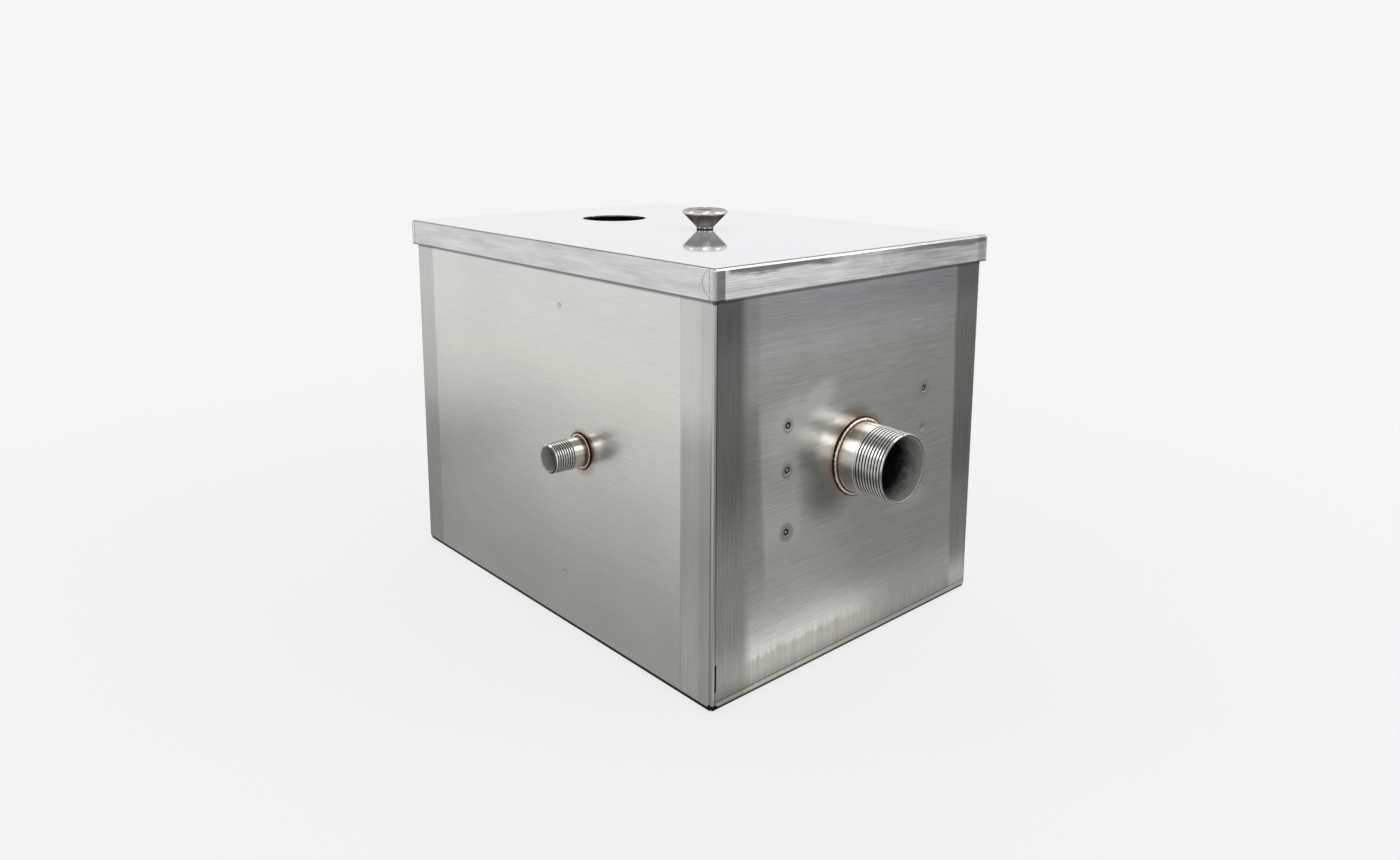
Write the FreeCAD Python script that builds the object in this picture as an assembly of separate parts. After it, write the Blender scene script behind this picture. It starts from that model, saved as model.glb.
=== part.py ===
import FreeCAD
import Part

import math
import os

from FreeCAD import Vector

# Under-sink grease trap in thin stainless sheet: a welded box with a lift-off lid, a waste inlet in the
# lid, a strainer basket under it, a baffle, a hooded outlet and a small nipple that draws off the fat.
# Millimetres. The origin is the centre of the base, +X runs out through the outlet nipple, +Z is up.

# Box
body_length = 360.0
body_width = 266.0
body_height = 274.0
sheet = 1.2
fold_inside_r = 1.4
seam_groove = 1.7
seam_round = 1.1
corner_notch = 3.2
seam_slit_low_z = 13.0
seam_slit_high_z = 31.0
seam_slit_width = 0.6
seam_slit_depth = 0.8

# Lid
lid_gap = 2.0
lid_flange_depth = 19.5
lid_fold_inside_r = 0.8
inlet_hole_r = 26.3
inlet_hole_x = -88.0
knob_x = 25.0

# Pipe nipples: each thread is a plain stretch at its outside radius
hole_clearance = 0.1
nipple_inside_reach = 3.0
outlet_z = 135.0
outlet_pipe_r = 24.15
outlet_bore_r = 21.65
outlet_reach = 36.5
outlet_thread_r = 23.9
outlet_thread_length = 22.5
outlet_end_chamfer = 0.7
outlet_mouth_chamfer = 0.45
outlet_bead = 3.2
draw_off_x = 46.0
draw_off_z = 134.0
draw_off_pipe_r = 10.65
draw_off_bore_r = 8.55
draw_off_reach = 26.4
draw_off_thread_r = 10.48
draw_off_thread_length = 16.2
draw_off_end_chamfer = 0.9
draw_off_mouth_chamfer = 0.4
draw_off_bead = 2.6
bead_crown = 0.68

# Baffle, with its side flanges plug-welded to both side walls
baffle_x = 16.0
baffle_flange = 16.0
baffle_bottom_z = 24.0
baffle_top_z = 246.0
baffle_plug_z = (38.5, 232.0)
baffle_plug_r = 1.8

# Hood over the outlet, open at its top and bottom
hood_inside_width = 124.0
hood_depth = 60.0
hood_flange = 16.0
hood_bottom_z = 74.0
hood_top_z = 190.0
hood_plug_z = (100.0, 141.0, 170.0)
hood_plug_r = 3.0
plug_gap = 0.05
plug_dish = 0.4

# Ledges that carry the basket
ledge_top_z = 200.0
ledge_reach = 12.0
ledge_depth = 15.0
ledge_length = 170.0
ledge_plug_pitch = 60.0
ledge_plug_count = 3

# Strainer basket
basket_sheet = 1.0
basket_end_clearance = 17.0
basket_width = 180.0
basket_depth = 98.0
basket_corner_r = 3.0
basket_slot_width = 4.0
basket_slot_pitch = 10.0
basket_slot_edge = 12.0
basket_floor_slot_length = 40.0
basket_floor_slot_bridge = 10.0
rim_sheet = 1.2
rim_reach = 15.0
rim_leg = 12.0

# Basket handle, a wire bail that lies on the rim and turns in two ears
wire_r = 2.0
handle_reach = 58.0
handle_lift = 0.4
handle_hole_clearance = 0.1
handle_arm_offset = 6.0
handle_corner_r = 14.0
handle_hook_r = 4.0
handle_hook_end = 4.0
ear_sheet = 1.5
ear_width = 14.0
ear_corner_r = 5.6
ear_above_rim = 8.0
ear_below_rim = 14.0

# Knob and its screw
knob_rim_r = 17.0
knob_neck_r = 6.3
knob_neck_straight = 0.8
knob_flare_deg = 44.0
knob_height = 15.6
knob_rim_band = 1.8
knob_rim_bevel = 0.5
knob_dish_r = 13.7
knob_dish_middle_r = 7.4
knob_dish_depth = 1.6
screw_r = 2.5
screw_depth_in_knob = 10.0
screw_head_r = 4.6
screw_head_height = 2.4
screw_head_chamfer = 0.8
screw_end_gap = 1.0
screw_hole_clearance = 0.25
screw_thread_gap = 0.05
screw_cross_reach = 2.5
screw_cross_width = 1.0
screw_cross_depth = 1.3
washer_r = 6.0
washer_sheet = 1.0

# Worked out from the sizes above
half_length = body_length / 2.0
half_width = body_width / 2.0
inside_x = half_length - sheet
inside_y = half_width - sheet
lid_overhang = lid_gap + sheet
lid_top_z = body_height + sheet
rim_top_z = ledge_top_z + rim_sheet
tub_length = baffle_x + inside_x - 2.0 * basket_end_clearance
basket_x = (baffle_x - inside_x) / 2.0
handle_z = rim_top_z + wire_r + handle_lift
handle_arm_y = basket_width / 2.0 + handle_arm_offset


def box(low, high):
    size = Vector(*high) - Vector(*low)
    return Part.makeBox(size.x, size.y, size.z, Vector(*low))


def centred_box(length, width, low_z, high_z, centre_x=0.0):
    low = (centre_x - length / 2.0, -width / 2.0, low_z)
    high = (centre_x + length / 2.0, width / 2.0, high_z)
    return box(low, high)


def edges_along(shape, direction, keep=lambda middle: True):
    chosen = []
    for edge in shape.Edges:
        if not isinstance(edge.Curve, Part.Line):
            continue
        run = edge.lastVertex().Point - edge.firstVertex().Point
        run.normalize()
        if abs(abs(run.dot(direction)) - 1.0) < 1e-6 and keep(edge.CenterOfMass):
            chosen.append(edge)
    return chosen


def wire_of(curves):
    return Part.Wire([curve.toShape() for curve in curves])


def folded_section(corners, thickness, inside_r):
    """Face of a bent sheet in the XY plane, given the corners of its middle line."""
    points = [Vector(x, y, 0.0) for x, y in corners]
    middle_r = inside_r + thickness / 2.0
    up = Vector(0, 0, 1)
    sides = []
    for side in (1.0, -1.0):
        curves = []
        last_end = None
        for index in range(1, len(points)):
            along = (points[index] - points[index - 1]).normalize()
            offset = up.cross(along) * (side * thickness / 2.0)
            start = last_end if last_end is not None else points[0] + offset
            if index == len(points) - 1:
                curves.append(Part.LineSegment(start, points[index] + offset))
                break
            next_along = (points[index + 1] - points[index]).normalize()
            turn = math.atan2(along.cross(next_along).z, along.dot(next_along))
            reach = middle_r * math.tan(abs(turn) / 2.0)
            turn_sign = 1.0 if turn > 0.0 else -1.0
            centre = points[index] - along * reach + up.cross(along) * (turn_sign * middle_r)
            radius = middle_r - turn_sign * side * thickness / 2.0
            arc_start = points[index] - along * reach + offset
            arc_end = points[index] + next_along * reach + up.cross(next_along) * (side * thickness / 2.0)
            arc_middle = centre + (points[index] - centre).normalize() * radius
            curves.append(Part.LineSegment(start, arc_start))
            curves.append(Part.Arc(arc_start, arc_middle, arc_end))
            last_end = arc_end
        sides.append(curves)
    left, right = sides
    outline = list(left)
    outline.append(Part.LineSegment(left[-1].EndPoint, right[-1].EndPoint))
    for curve in reversed(right):
        outline.append(curve)
    outline.append(Part.LineSegment(right[0].StartPoint, left[0].StartPoint))
    return Part.Face(Part.Wire(Part.__sortEdges__([curve.toShape() for curve in outline])))


def folded_plan(corners, thickness, inside_r, low_z, high_z):
    """Bent sheet whose folds stand upright: the corners are X and Y."""
    face = folded_section(corners, thickness, inside_r)
    face.translate(Vector(0, 0, low_z))
    return face.extrude(Vector(0, 0, high_z - low_z))


def folded_profile(corners, thickness, inside_r, width):
    """Bent sheet whose folds run along Y: the corners are X and Z, and the sheet is centred on Y."""
    face = folded_section(corners, thickness, inside_r)
    face.rotate(Vector(0, 0, 0), Vector(1, 0, 0), 90.0)
    face.translate(Vector(0, width / 2.0, 0))
    return face.extrude(Vector(0, -width, 0))


def turned(profile, centre, axis):
    """Solid of revolution: the profile's points are (distance along the axis, radius)."""
    points = [Vector(radius, 0.0, along) for along, radius in profile]
    points.append(points[0])
    face = Part.Face(Part.makePolygon(points))
    solid = face.revolve(Vector(0, 0, 0), Vector(0, 0, 1), 360.0)
    turn = FreeCAD.Rotation(Vector(0, 0, 1), axis)
    solid.Placement = FreeCAD.Placement(centre, turn)
    return solid


def hole(centre, axis, radius, depth):
    """Cutting cylinder that reaches the same depth to both sides of its centre."""
    direction = Vector(axis).normalize()
    return Part.makeCylinder(radius, 2.0 * depth, Vector(centre) - direction * depth, direction)


def body_envelope(edge_cut):
    """Outer form of the welded box, with its side seams shaped by edge_cut."""
    block = centred_box(body_length, body_width, 0.0, body_height)
    folds = edges_along(block, Vector(0, 1, 0), lambda middle: middle.z < sheet)
    block = block.makeFillet(fold_inside_r + sheet, folds)
    seams = []
    for edge in block.Edges:
        middle = edge.CenterOfMass
        on_side = abs(abs(middle.y) - half_width) < 1e-6
        if on_side and middle.z < body_height - 1e-3:
            seams.append(edge)
    return edge_cut(block, seams)


def grooved_envelope():
    return body_envelope(lambda block, seams: block.makeChamfer(seam_groove, seams))


def rounded_envelope():
    return body_envelope(lambda block, seams: block.makeFillet(seam_round, seams))


def plug_places(heights, sideways):
    return [(place, height) for place in sideways for height in heights]


def hood_flange_y():
    return hood_inside_width / 2.0 + hood_flange / 2.0


def baffle_flange_x():
    return baffle_x + baffle_flange / 2.0


def ledge_plug_places():
    first = -ledge_plug_pitch * (ledge_plug_count - 1) / 2.0
    return [first + index * ledge_plug_pitch for index in range(ledge_plug_count)]


def ledge_plug_z():
    return ledge_top_z - ledge_depth / 2.0 - fold_inside_r / 2.0


def seam_slit():
    """Short unwelded stretch beside the bead, low on the corner between the outlet and draw-off walls."""
    slit_y = -half_width + seam_groove
    low = (half_length - seam_slit_depth, slit_y, seam_slit_low_z)
    high = (half_length + 1.0, slit_y + seam_slit_width, seam_slit_high_z)
    return box(low, high)


def make_folded_shell():
    corners = [
        (-half_length + sheet / 2.0, body_height),
        (-half_length + sheet / 2.0, sheet / 2.0),
        (half_length - sheet / 2.0, sheet / 2.0),
        (half_length - sheet / 2.0, body_height),
    ]
    shell = folded_profile(corners, sheet, fold_inside_r, 2.0 * inside_y)
    shell = shell.common(grooved_envelope()).cut(seam_slit())
    shell = shell.cut(hole(outlet_place(), Vector(1, 0, 0), outlet_pipe_r + hole_clearance, 4.0 * sheet))
    for y, z in plug_places(hood_plug_z, (-hood_flange_y(), hood_flange_y())):
        shell = shell.cut(hole(Vector(half_length, y, z), Vector(1, 0, 0), hood_plug_r, 4.0 * sheet))
    for y in ledge_plug_places():
        place = Vector(-half_length, y, ledge_plug_z())
        shell = shell.cut(hole(place, Vector(1, 0, 0), hood_plug_r, 4.0 * sheet))
    return shell


def make_side_wall(side):
    wall = box((-half_length, -sheet, 0.0), (half_length, 0.0, body_height))
    wall.translate(Vector(0, side * half_width if side > 0 else sheet - half_width, 0))
    wall = wall.common(grooved_envelope())
    for z in baffle_plug_z:
        place = Vector(baffle_flange_x(), side * half_width, z)
        wall = wall.cut(hole(place, Vector(0, 1, 0), baffle_plug_r, 4.0 * sheet))
    if side < 0:
        pipe_hole_r = draw_off_pipe_r + hole_clearance
        wall = wall.cut(hole(draw_off_place(), Vector(0, 1, 0), pipe_hole_r, 4.0 * sheet))
    return wall


def make_seam_weld(side):
    """Ground bead along both upright seams and the base seam of one side, open at the two base corners."""
    bead = rounded_envelope().cut(grooved_envelope())
    reach = 2.0 * seam_groove
    low = (-body_length, half_width - reach, -1.0)
    high = (body_length, half_width + reach, body_height + 1.0)
    if side < 0:
        low, high = (low[0], -high[1], low[2]), (high[0], -low[1], high[2])
    bead = bead.common(box(low, high))
    for end in (-1.0, 1.0):
        inner = end * (half_length - corner_notch)
        outer = end * body_length
        notch = box((min(inner, outer), low[1], -1.0), (max(inner, outer), high[1], corner_notch))
        bead = bead.cut(notch)
    return bead


def nipple_profile(pipe_r, bore_r, reach, thread_r, thread_length, end_chamfer, mouth_chamfer):
    """Outer line of a nipple from inside the tank to its open end, then back along the bore."""
    inner_end = -sheet - nipple_inside_reach
    thread_start = reach - thread_length
    return [
        (inner_end, bore_r),
        (inner_end, pipe_r),
        (thread_start, pipe_r),
        (thread_start + 2.0 * (pipe_r - thread_r), thread_r),
        (reach - end_chamfer, thread_r),
        (reach, thread_r - end_chamfer),
        (reach, bore_r + mouth_chamfer),
        (reach - mouth_chamfer, bore_r),
    ]


def bead_profile(pipe_r, leg):
    """Fillet weld between a pipe and the wall: its face stands out between the two toes."""
    crown = leg * bead_crown
    return [(0.0, pipe_r), (0.0, pipe_r + leg), (crown, pipe_r + crown), (leg, pipe_r)]


def outlet_place():
    return Vector(half_length, 0, outlet_z)


def draw_off_place():
    return Vector(draw_off_x, -half_width, draw_off_z)


def make_outlet_nipple():
    profile = nipple_profile(
        outlet_pipe_r,
        outlet_bore_r,
        outlet_reach,
        outlet_thread_r,
        outlet_thread_length,
        outlet_end_chamfer,
        outlet_mouth_chamfer,
    )
    return turned(profile, outlet_place(), Vector(1, 0, 0))


def make_draw_off_nipple():
    profile = nipple_profile(
        draw_off_pipe_r,
        draw_off_bore_r,
        draw_off_reach,
        draw_off_thread_r,
        draw_off_thread_length,
        draw_off_end_chamfer,
        draw_off_mouth_chamfer,
    )
    return turned(profile, draw_off_place(), Vector(0, -1, 0))


def make_outlet_weld():
    return turned(bead_profile(outlet_pipe_r, outlet_bead), outlet_place(), Vector(1, 0, 0))


def make_draw_off_weld():
    return turned(bead_profile(draw_off_pipe_r, draw_off_bead), draw_off_place(), Vector(0, -1, 0))


def make_plug(outside, outward, radius):
    """Plug weld that fills a hole in the wall, with a shallow dish in its outer face."""
    plug_r = radius - plug_gap
    plug = Part.makeCylinder(plug_r, sheet, outside - outward * sheet, outward)
    ball_r = (plug_r ** 2 + plug_dish ** 2) / (2.0 * plug_dish)
    return plug.cut(Part.makeSphere(ball_r, outside + outward * (ball_r - plug_dish)))


def make_baffle_plate():
    corners = [
        (baffle_x + baffle_flange, -inside_y + sheet / 2.0),
        (baffle_x + sheet / 2.0, -inside_y + sheet / 2.0),
        (baffle_x + sheet / 2.0, inside_y - sheet / 2.0),
        (baffle_x + baffle_flange, inside_y - sheet / 2.0),
    ]
    return folded_plan(corners, sheet, fold_inside_r, baffle_bottom_z, baffle_top_z)


def make_baffle_plugs():
    plugs = []
    for side in (-1.0, 1.0):
        for z in baffle_plug_z:
            outside = Vector(baffle_flange_x(), side * half_width, z)
            plugs.append(make_plug(outside, Vector(0, side, 0), baffle_plug_r))
    return Part.makeCompound(plugs)


def make_outlet_hood():
    wall_x = inside_x - sheet / 2.0
    front_x = inside_x - hood_depth + sheet / 2.0
    side_y = hood_inside_width / 2.0 + sheet / 2.0
    flange_end_y = hood_inside_width / 2.0 + hood_flange
    corners = [
        (wall_x, -flange_end_y),
        (wall_x, -side_y),
        (front_x, -side_y),
        (front_x, side_y),
        (wall_x, side_y),
        (wall_x, flange_end_y),
    ]
    return folded_plan(corners, sheet, fold_inside_r, hood_bottom_z, hood_top_z)


def make_hood_plugs():
    plugs = []
    for y, z in plug_places(hood_plug_z, (-hood_flange_y(), hood_flange_y())):
        plugs.append(make_plug(Vector(half_length, y, z), Vector(1, 0, 0), hood_plug_r))
    return Part.makeCompound(plugs)


def make_ledge(wall_x, inward):
    """Angle strip on a wall that faces inward, +1 or -1 along X."""
    corners = [
        (wall_x + inward * sheet / 2.0, ledge_top_z - ledge_depth),
        (wall_x + inward * sheet / 2.0, ledge_top_z - sheet / 2.0),
        (wall_x + inward * ledge_reach, ledge_top_z - sheet / 2.0),
    ]
    return folded_profile(corners, sheet, fold_inside_r, ledge_length)


def make_ledge_plugs():
    plugs = []
    for y in ledge_plug_places():
        plugs.append(make_plug(Vector(-half_length, y, ledge_plug_z()), Vector(-1, 0, 0), hood_plug_r))
    return Part.makeCompound(plugs)


def lid_corner_prism(side_x, side_y):
    """Triangular groove down one corner of the lid, which the corner weld fills."""
    corner_x = side_x * (half_length + lid_overhang)
    corner_y = side_y * (half_width + lid_overhang)
    low_z = lid_top_z - lid_flange_depth
    points = [
        Vector(corner_x, corner_y, low_z),
        Vector(corner_x - side_x * seam_groove, corner_y, low_z),
        Vector(corner_x, corner_y - side_y * seam_groove, low_z),
    ]
    points.append(points[0])
    height = lid_flange_depth - sheet - lid_fold_inside_r
    return Part.Face(Part.makePolygon(points)).extrude(Vector(0, 0, height))


def lid_corner_prisms():
    return [lid_corner_prism(side_x, side_y) for side_x in (-1, 1) for side_y in (-1, 1)]


def lid_block(inset, low_z, fold_r, corner_r):
    length = body_length + 2.0 * (lid_overhang - inset)
    width = body_width + 2.0 * (lid_overhang - inset)
    block = centred_box(length, width, low_z, lid_top_z - inset)
    if corner_r > 0.0:
        block = block.makeFillet(corner_r, edges_along(block, Vector(0, 0, 1)))
    top = []
    for edge in block.Edges:
        if abs(edge.BoundBox.ZMin - (lid_top_z - inset)) < 1e-4:
            top.append(edge)
    return block.makeFillet(fold_r, top)


def make_lid_pan():
    low_z = lid_top_z - lid_flange_depth
    outer = lid_block(0.0, low_z, lid_fold_inside_r + sheet, seam_round)
    inner = lid_block(sheet, low_z - sheet, lid_fold_inside_r, 0.0)
    return outer.cut(inner)


def make_lid_sheet():
    lid = make_lid_pan()
    for prism in lid_corner_prisms():
        lid = lid.cut(prism)
    inlet = Vector(inlet_hole_x, 0, lid_top_z)
    lid = lid.cut(hole(inlet, Vector(0, 0, 1), inlet_hole_r, 4.0 * sheet))
    screw = Vector(knob_x, 0, lid_top_z)
    return lid.cut(hole(screw, Vector(0, 0, 1), screw_r + screw_hole_clearance, 4.0 * sheet))


def make_lid_corner_welds():
    pan = make_lid_pan()
    return Part.makeCompound([pan.common(prism).Solids[0] for prism in lid_corner_prisms()])


def knob_outline():
    """Half section of the knob: a short neck, a hollow flare, a bevelled rim and a dished top."""
    flare = math.radians(knob_flare_deg)
    rim_low = Vector(knob_rim_r - knob_rim_bevel, 0, knob_height - knob_rim_band)
    rise = rim_low.z - knob_neck_straight
    spread = rim_low.x - knob_neck_r
    hollow_r = math.tan(flare) * rise - spread
    hollow_r /= math.tan(flare) * math.sin(flare) - (1.0 - math.cos(flare))
    neck_top = Vector(knob_neck_r, 0, knob_neck_straight)

    def on_hollow(angle):
        return neck_top + Vector(hollow_r * (1.0 - math.cos(angle)), 0, hollow_r * math.sin(angle))

    corners = [
        on_hollow(flare),
        rim_low,
        Vector(knob_rim_r, 0, knob_height - knob_rim_band / 2.0),
        Vector(knob_rim_r - knob_rim_bevel, 0, knob_height - knob_rim_bevel / 2.0),
        Vector(knob_rim_r - 2.0 * knob_rim_bevel, 0, knob_height),
        Vector(knob_dish_r, 0, knob_height - knob_rim_bevel / 2.0),
        Vector(knob_dish_middle_r, 0, knob_height - knob_dish_depth * 0.85),
        Vector(0, 0, knob_height - knob_dish_depth),
        Vector(0, 0, 0),
        Vector(knob_neck_r, 0, 0),
    ]
    curves = [
        Part.LineSegment(Vector(knob_neck_r, 0, 0), neck_top),
        Part.Arc(neck_top, on_hollow(flare / 2.0), on_hollow(flare)),
    ]
    for start, end in zip(corners, corners[1:]):
        curves.append(Part.LineSegment(start, end))
    return curves


def make_lid_knob():
    knob = Part.Face(wire_of(knob_outline())).revolve(Vector(0, 0, 0), Vector(0, 0, 1), 360.0)
    foot = Vector(knob_x, 0, lid_top_z)
    knob.translate(foot)
    return knob.cut(Part.makeCylinder(screw_r, screw_depth_in_knob, foot, Vector(0, 0, 1)))


def washer_top_z():
    return lid_top_z - sheet


def make_knob_washer():
    low = Vector(knob_x, 0, washer_top_z() - washer_sheet)
    washer = Part.makeCylinder(washer_r, washer_sheet, low)
    return washer.cut(Part.makeCylinder(screw_r + screw_hole_clearance, washer_sheet, low))


def make_knob_screw():
    head_top = washer_top_z() - washer_sheet
    head = Part.makeCylinder(screw_head_r, screw_head_height, Vector(knob_x, 0, head_top - screw_head_height))
    lower_edge = [edge for edge in head.Edges if edge.BoundBox.ZMax < head_top - screw_head_height + 1e-3]
    head = head.makeChamfer(screw_head_chamfer, lower_edge)
    shank_top = lid_top_z + screw_depth_in_knob - screw_end_gap
    shank = Part.makeCylinder(screw_r - screw_thread_gap, shank_top - head_top, Vector(knob_x, 0, head_top))
    screw = head.fuse(shank)
    cross_low = head_top - screw_head_height - 1.0
    cross_high = head_top - screw_head_height + screw_cross_depth
    half_cross = screw_cross_width / 2.0
    for reach_x, reach_y in ((screw_cross_reach, half_cross), (half_cross, screw_cross_reach)):
        low = (knob_x - reach_x, -reach_y, cross_low)
        high = (knob_x + reach_x, reach_y, cross_high)
        screw = screw.cut(box(low, high))
    return screw.removeSplitter()


def slot_places(span, pitch, edge):
    """Centres of the slots that fit into a span, spread about its middle."""
    count = int((span - 2.0 * edge) / pitch) + 1
    first = -(count - 1) * pitch / 2.0
    return [first + index * pitch for index in range(count)]


def basket_slots():
    """Punched slots: upright ones round the four walls, and rows of them across the floor."""
    low_z = rim_top_z - basket_depth
    wall_low = low_z + basket_slot_edge
    wall_high = ledge_top_z - rim_leg - basket_slot_edge
    half_slot = basket_slot_width / 2.0
    slots = []
    for x in slot_places(tub_length, basket_slot_pitch, basket_slot_edge):
        low = (basket_x + x - half_slot, -basket_width, wall_low)
        high = (basket_x + x + half_slot, basket_width, wall_high)
        slots.append(box(low, high))
    for y in slot_places(basket_width, basket_slot_pitch, basket_slot_edge):
        low = (basket_x - tub_length, y - half_slot, wall_low)
        high = (basket_x + tub_length, y + half_slot, wall_high)
        slots.append(box(low, high))
    row_pitch = basket_floor_slot_length + basket_floor_slot_bridge
    row_edge = basket_slot_edge + basket_floor_slot_length / 2.0
    for x in slot_places(tub_length, row_pitch, row_edge):
        for y in slot_places(basket_width, basket_slot_pitch, basket_slot_edge):
            low = (basket_x + x - basket_floor_slot_length / 2.0, y - half_slot, low_z - 1.0)
            high = (basket_x + x + basket_floor_slot_length / 2.0, y + half_slot, low_z + 2.0 * basket_sheet)
            slots.append(box(low, high))
    return Part.makeCompound(slots)


def make_strainer_basket():
    low_z = rim_top_z - basket_depth
    outer = centred_box(tub_length, basket_width, low_z, ledge_top_z, basket_x)
    outer = outer.makeFillet(basket_corner_r, edges_along(outer, Vector(0, 0, 1)))
    inner_length = tub_length - 2.0 * basket_sheet
    inner_width = basket_width - 2.0 * basket_sheet
    inner = centred_box(inner_length, inner_width, low_z + basket_sheet, ledge_top_z + 1.0, basket_x)
    inner = inner.makeFillet(basket_corner_r - basket_sheet, edges_along(inner, Vector(0, 0, 1)))
    return outer.cut(inner).cut(basket_slots())


def make_basket_rim():
    """Welded frame of angle strip round the mouth of the basket, its leg outside the perforated wall."""
    lip_length = tub_length + 2.0 * rim_reach
    lip_width = basket_width + 2.0 * rim_reach
    lip = centred_box(lip_length, lip_width, ledge_top_z, rim_top_z, basket_x)
    lip = lip.makeFillet(basket_corner_r, edges_along(lip, Vector(0, 0, 1)))
    leg_length = tub_length + 2.0 * rim_sheet
    leg_width = basket_width + 2.0 * rim_sheet
    leg = centred_box(leg_length, leg_width, ledge_top_z - rim_leg, ledge_top_z, basket_x)
    leg = leg.makeFillet(basket_corner_r + rim_sheet, edges_along(leg, Vector(0, 0, 1)))
    tub = centred_box(tub_length, basket_width, ledge_top_z - 2.0 * rim_leg, ledge_top_z, basket_x)
    tub = tub.makeFillet(basket_corner_r, edges_along(tub, Vector(0, 0, 1)))
    mouth_length = tub_length - 2.0 * basket_sheet
    mouth_width = basket_width - 2.0 * basket_sheet
    mouth = centred_box(mouth_length, mouth_width, ledge_top_z - 1.0, rim_top_z + 1.0, basket_x)
    mouth = mouth.makeFillet(basket_corner_r - basket_sheet, edges_along(mouth, Vector(0, 0, 1)))
    return lip.fuse(leg).cut(tub).cut(mouth).removeSplitter()


def make_basket_ears():
    ears = []
    for side in (-1.0, 1.0):
        wall_y = side * (basket_width / 2.0 - basket_sheet)
        low_y = min(wall_y, wall_y - side * ear_sheet)
        low = (basket_x - ear_width / 2.0, low_y, rim_top_z - ear_below_rim)
        high = (basket_x + ear_width / 2.0, low_y + ear_sheet, rim_top_z + ear_above_rim)
        ear = box(low, high)
        top = edges_along(ear, Vector(0, 1, 0), lambda middle: middle.z > rim_top_z)
        ear = ear.makeFillet(ear_corner_r, top)
        place = Vector(basket_x, wall_y, handle_z)
        ears.append(ear.cut(hole(place, Vector(0, 1, 0), wire_r + handle_hole_clearance, 3.0 * ear_sheet)))
    return Part.makeCompound(ears)


def make_basket_handle():
    """Wire bail lying towards the inlet end, with its ends hooked inwards through the ears."""
    hook_y = basket_width / 2.0 - basket_sheet - ear_sheet - handle_hook_end
    cross_x = basket_x - handle_reach
    corners = [
        Vector(basket_x, -hook_y, handle_z),
        Vector(basket_x, -handle_arm_y, handle_z),
        Vector(cross_x, -handle_arm_y, handle_z),
        Vector(cross_x, handle_arm_y, handle_z),
        Vector(basket_x, handle_arm_y, handle_z),
        Vector(basket_x, hook_y, handle_z),
    ]
    radii = [handle_hook_r, handle_corner_r, handle_corner_r, handle_hook_r]
    curves = []
    start = corners[0]
    for index, radius in enumerate(radii, 1):
        corner = corners[index]
        back = (corners[index - 1] - corner).normalize()
        ahead = (corners[index + 1] - corner).normalize()
        centre = corner + (back + ahead) * radius
        middle = centre + (corner - centre).normalize() * radius
        curves.append(Part.LineSegment(start, corner + back * radius))
        curves.append(Part.Arc(corner + back * radius, middle, corner + ahead * radius))
        start = corner + ahead * radius
    curves.append(Part.LineSegment(start, corners[-1]))
    section = Part.Wire(Part.Circle(corners[0], Vector(0, 1, 0), wire_r).toShape())
    return wire_of(curves).makePipeShell([section], True, False)


def main():
    os.makedirs("parts", exist_ok=True)
    pieces = {
        "folded_shell": make_folded_shell(),
        "draw_off_side_wall": make_side_wall(-1),
        "plain_side_wall": make_side_wall(1),
        "draw_off_side_seam_weld": make_seam_weld(-1),
        "plain_side_seam_weld": make_seam_weld(1),
        "outlet_nipple": make_outlet_nipple(),
        "outlet_weld": make_outlet_weld(),
        "draw_off_nipple": make_draw_off_nipple(),
        "draw_off_weld": make_draw_off_weld(),
        "baffle_plate": make_baffle_plate(),
        "baffle_plug_welds": make_baffle_plugs(),
        "outlet_hood": make_outlet_hood(),
        "hood_plug_welds": make_hood_plugs(),
        "inlet_end_ledge": make_ledge(-inside_x, 1),
        "baffle_ledge": make_ledge(baffle_x, -1),
        "ledge_plug_welds": make_ledge_plugs(),
        "lid_sheet": make_lid_sheet(),
        "lid_corner_welds": make_lid_corner_welds(),
        "lid_knob": make_lid_knob(),
        "knob_washer": make_knob_washer(),
        "knob_screw": make_knob_screw(),
        "strainer_basket": make_strainer_basket(),
        "basket_rim": make_basket_rim(),
        "basket_ears": make_basket_ears(),
        "basket_handle": make_basket_handle(),
    }
    for name, shape in pieces.items():
        low, high = shape.BoundBox.ZMin, shape.BoundBox.ZMax
        print(name, len(shape.Solids), shape.isValid(), round(shape.Volume, 1), round(low, 2), round(high, 2))
        shape.exportStep(os.path.join("parts", name + ".step"))


main()
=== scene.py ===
import math

import bpy
from mathutils import Matrix, Vector


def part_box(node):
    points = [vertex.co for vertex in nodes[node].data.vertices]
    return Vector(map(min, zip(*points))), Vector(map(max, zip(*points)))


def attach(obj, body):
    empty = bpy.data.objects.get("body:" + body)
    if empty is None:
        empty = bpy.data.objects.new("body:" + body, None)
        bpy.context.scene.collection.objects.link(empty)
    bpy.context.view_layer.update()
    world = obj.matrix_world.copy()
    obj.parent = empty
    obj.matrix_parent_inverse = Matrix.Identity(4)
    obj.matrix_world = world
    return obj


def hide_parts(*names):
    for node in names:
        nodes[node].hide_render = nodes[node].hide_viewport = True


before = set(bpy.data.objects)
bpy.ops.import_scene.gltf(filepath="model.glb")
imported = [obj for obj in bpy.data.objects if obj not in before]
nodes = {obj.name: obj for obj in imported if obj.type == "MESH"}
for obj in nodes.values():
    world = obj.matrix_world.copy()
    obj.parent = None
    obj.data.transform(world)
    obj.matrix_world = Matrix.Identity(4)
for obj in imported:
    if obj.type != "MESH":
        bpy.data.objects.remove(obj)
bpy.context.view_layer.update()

scene = bpy.context.scene
mm = 0.001
print("frame loaded:", len(nodes), "nodes")


# Shader and geometry maths as Python expressions

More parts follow.
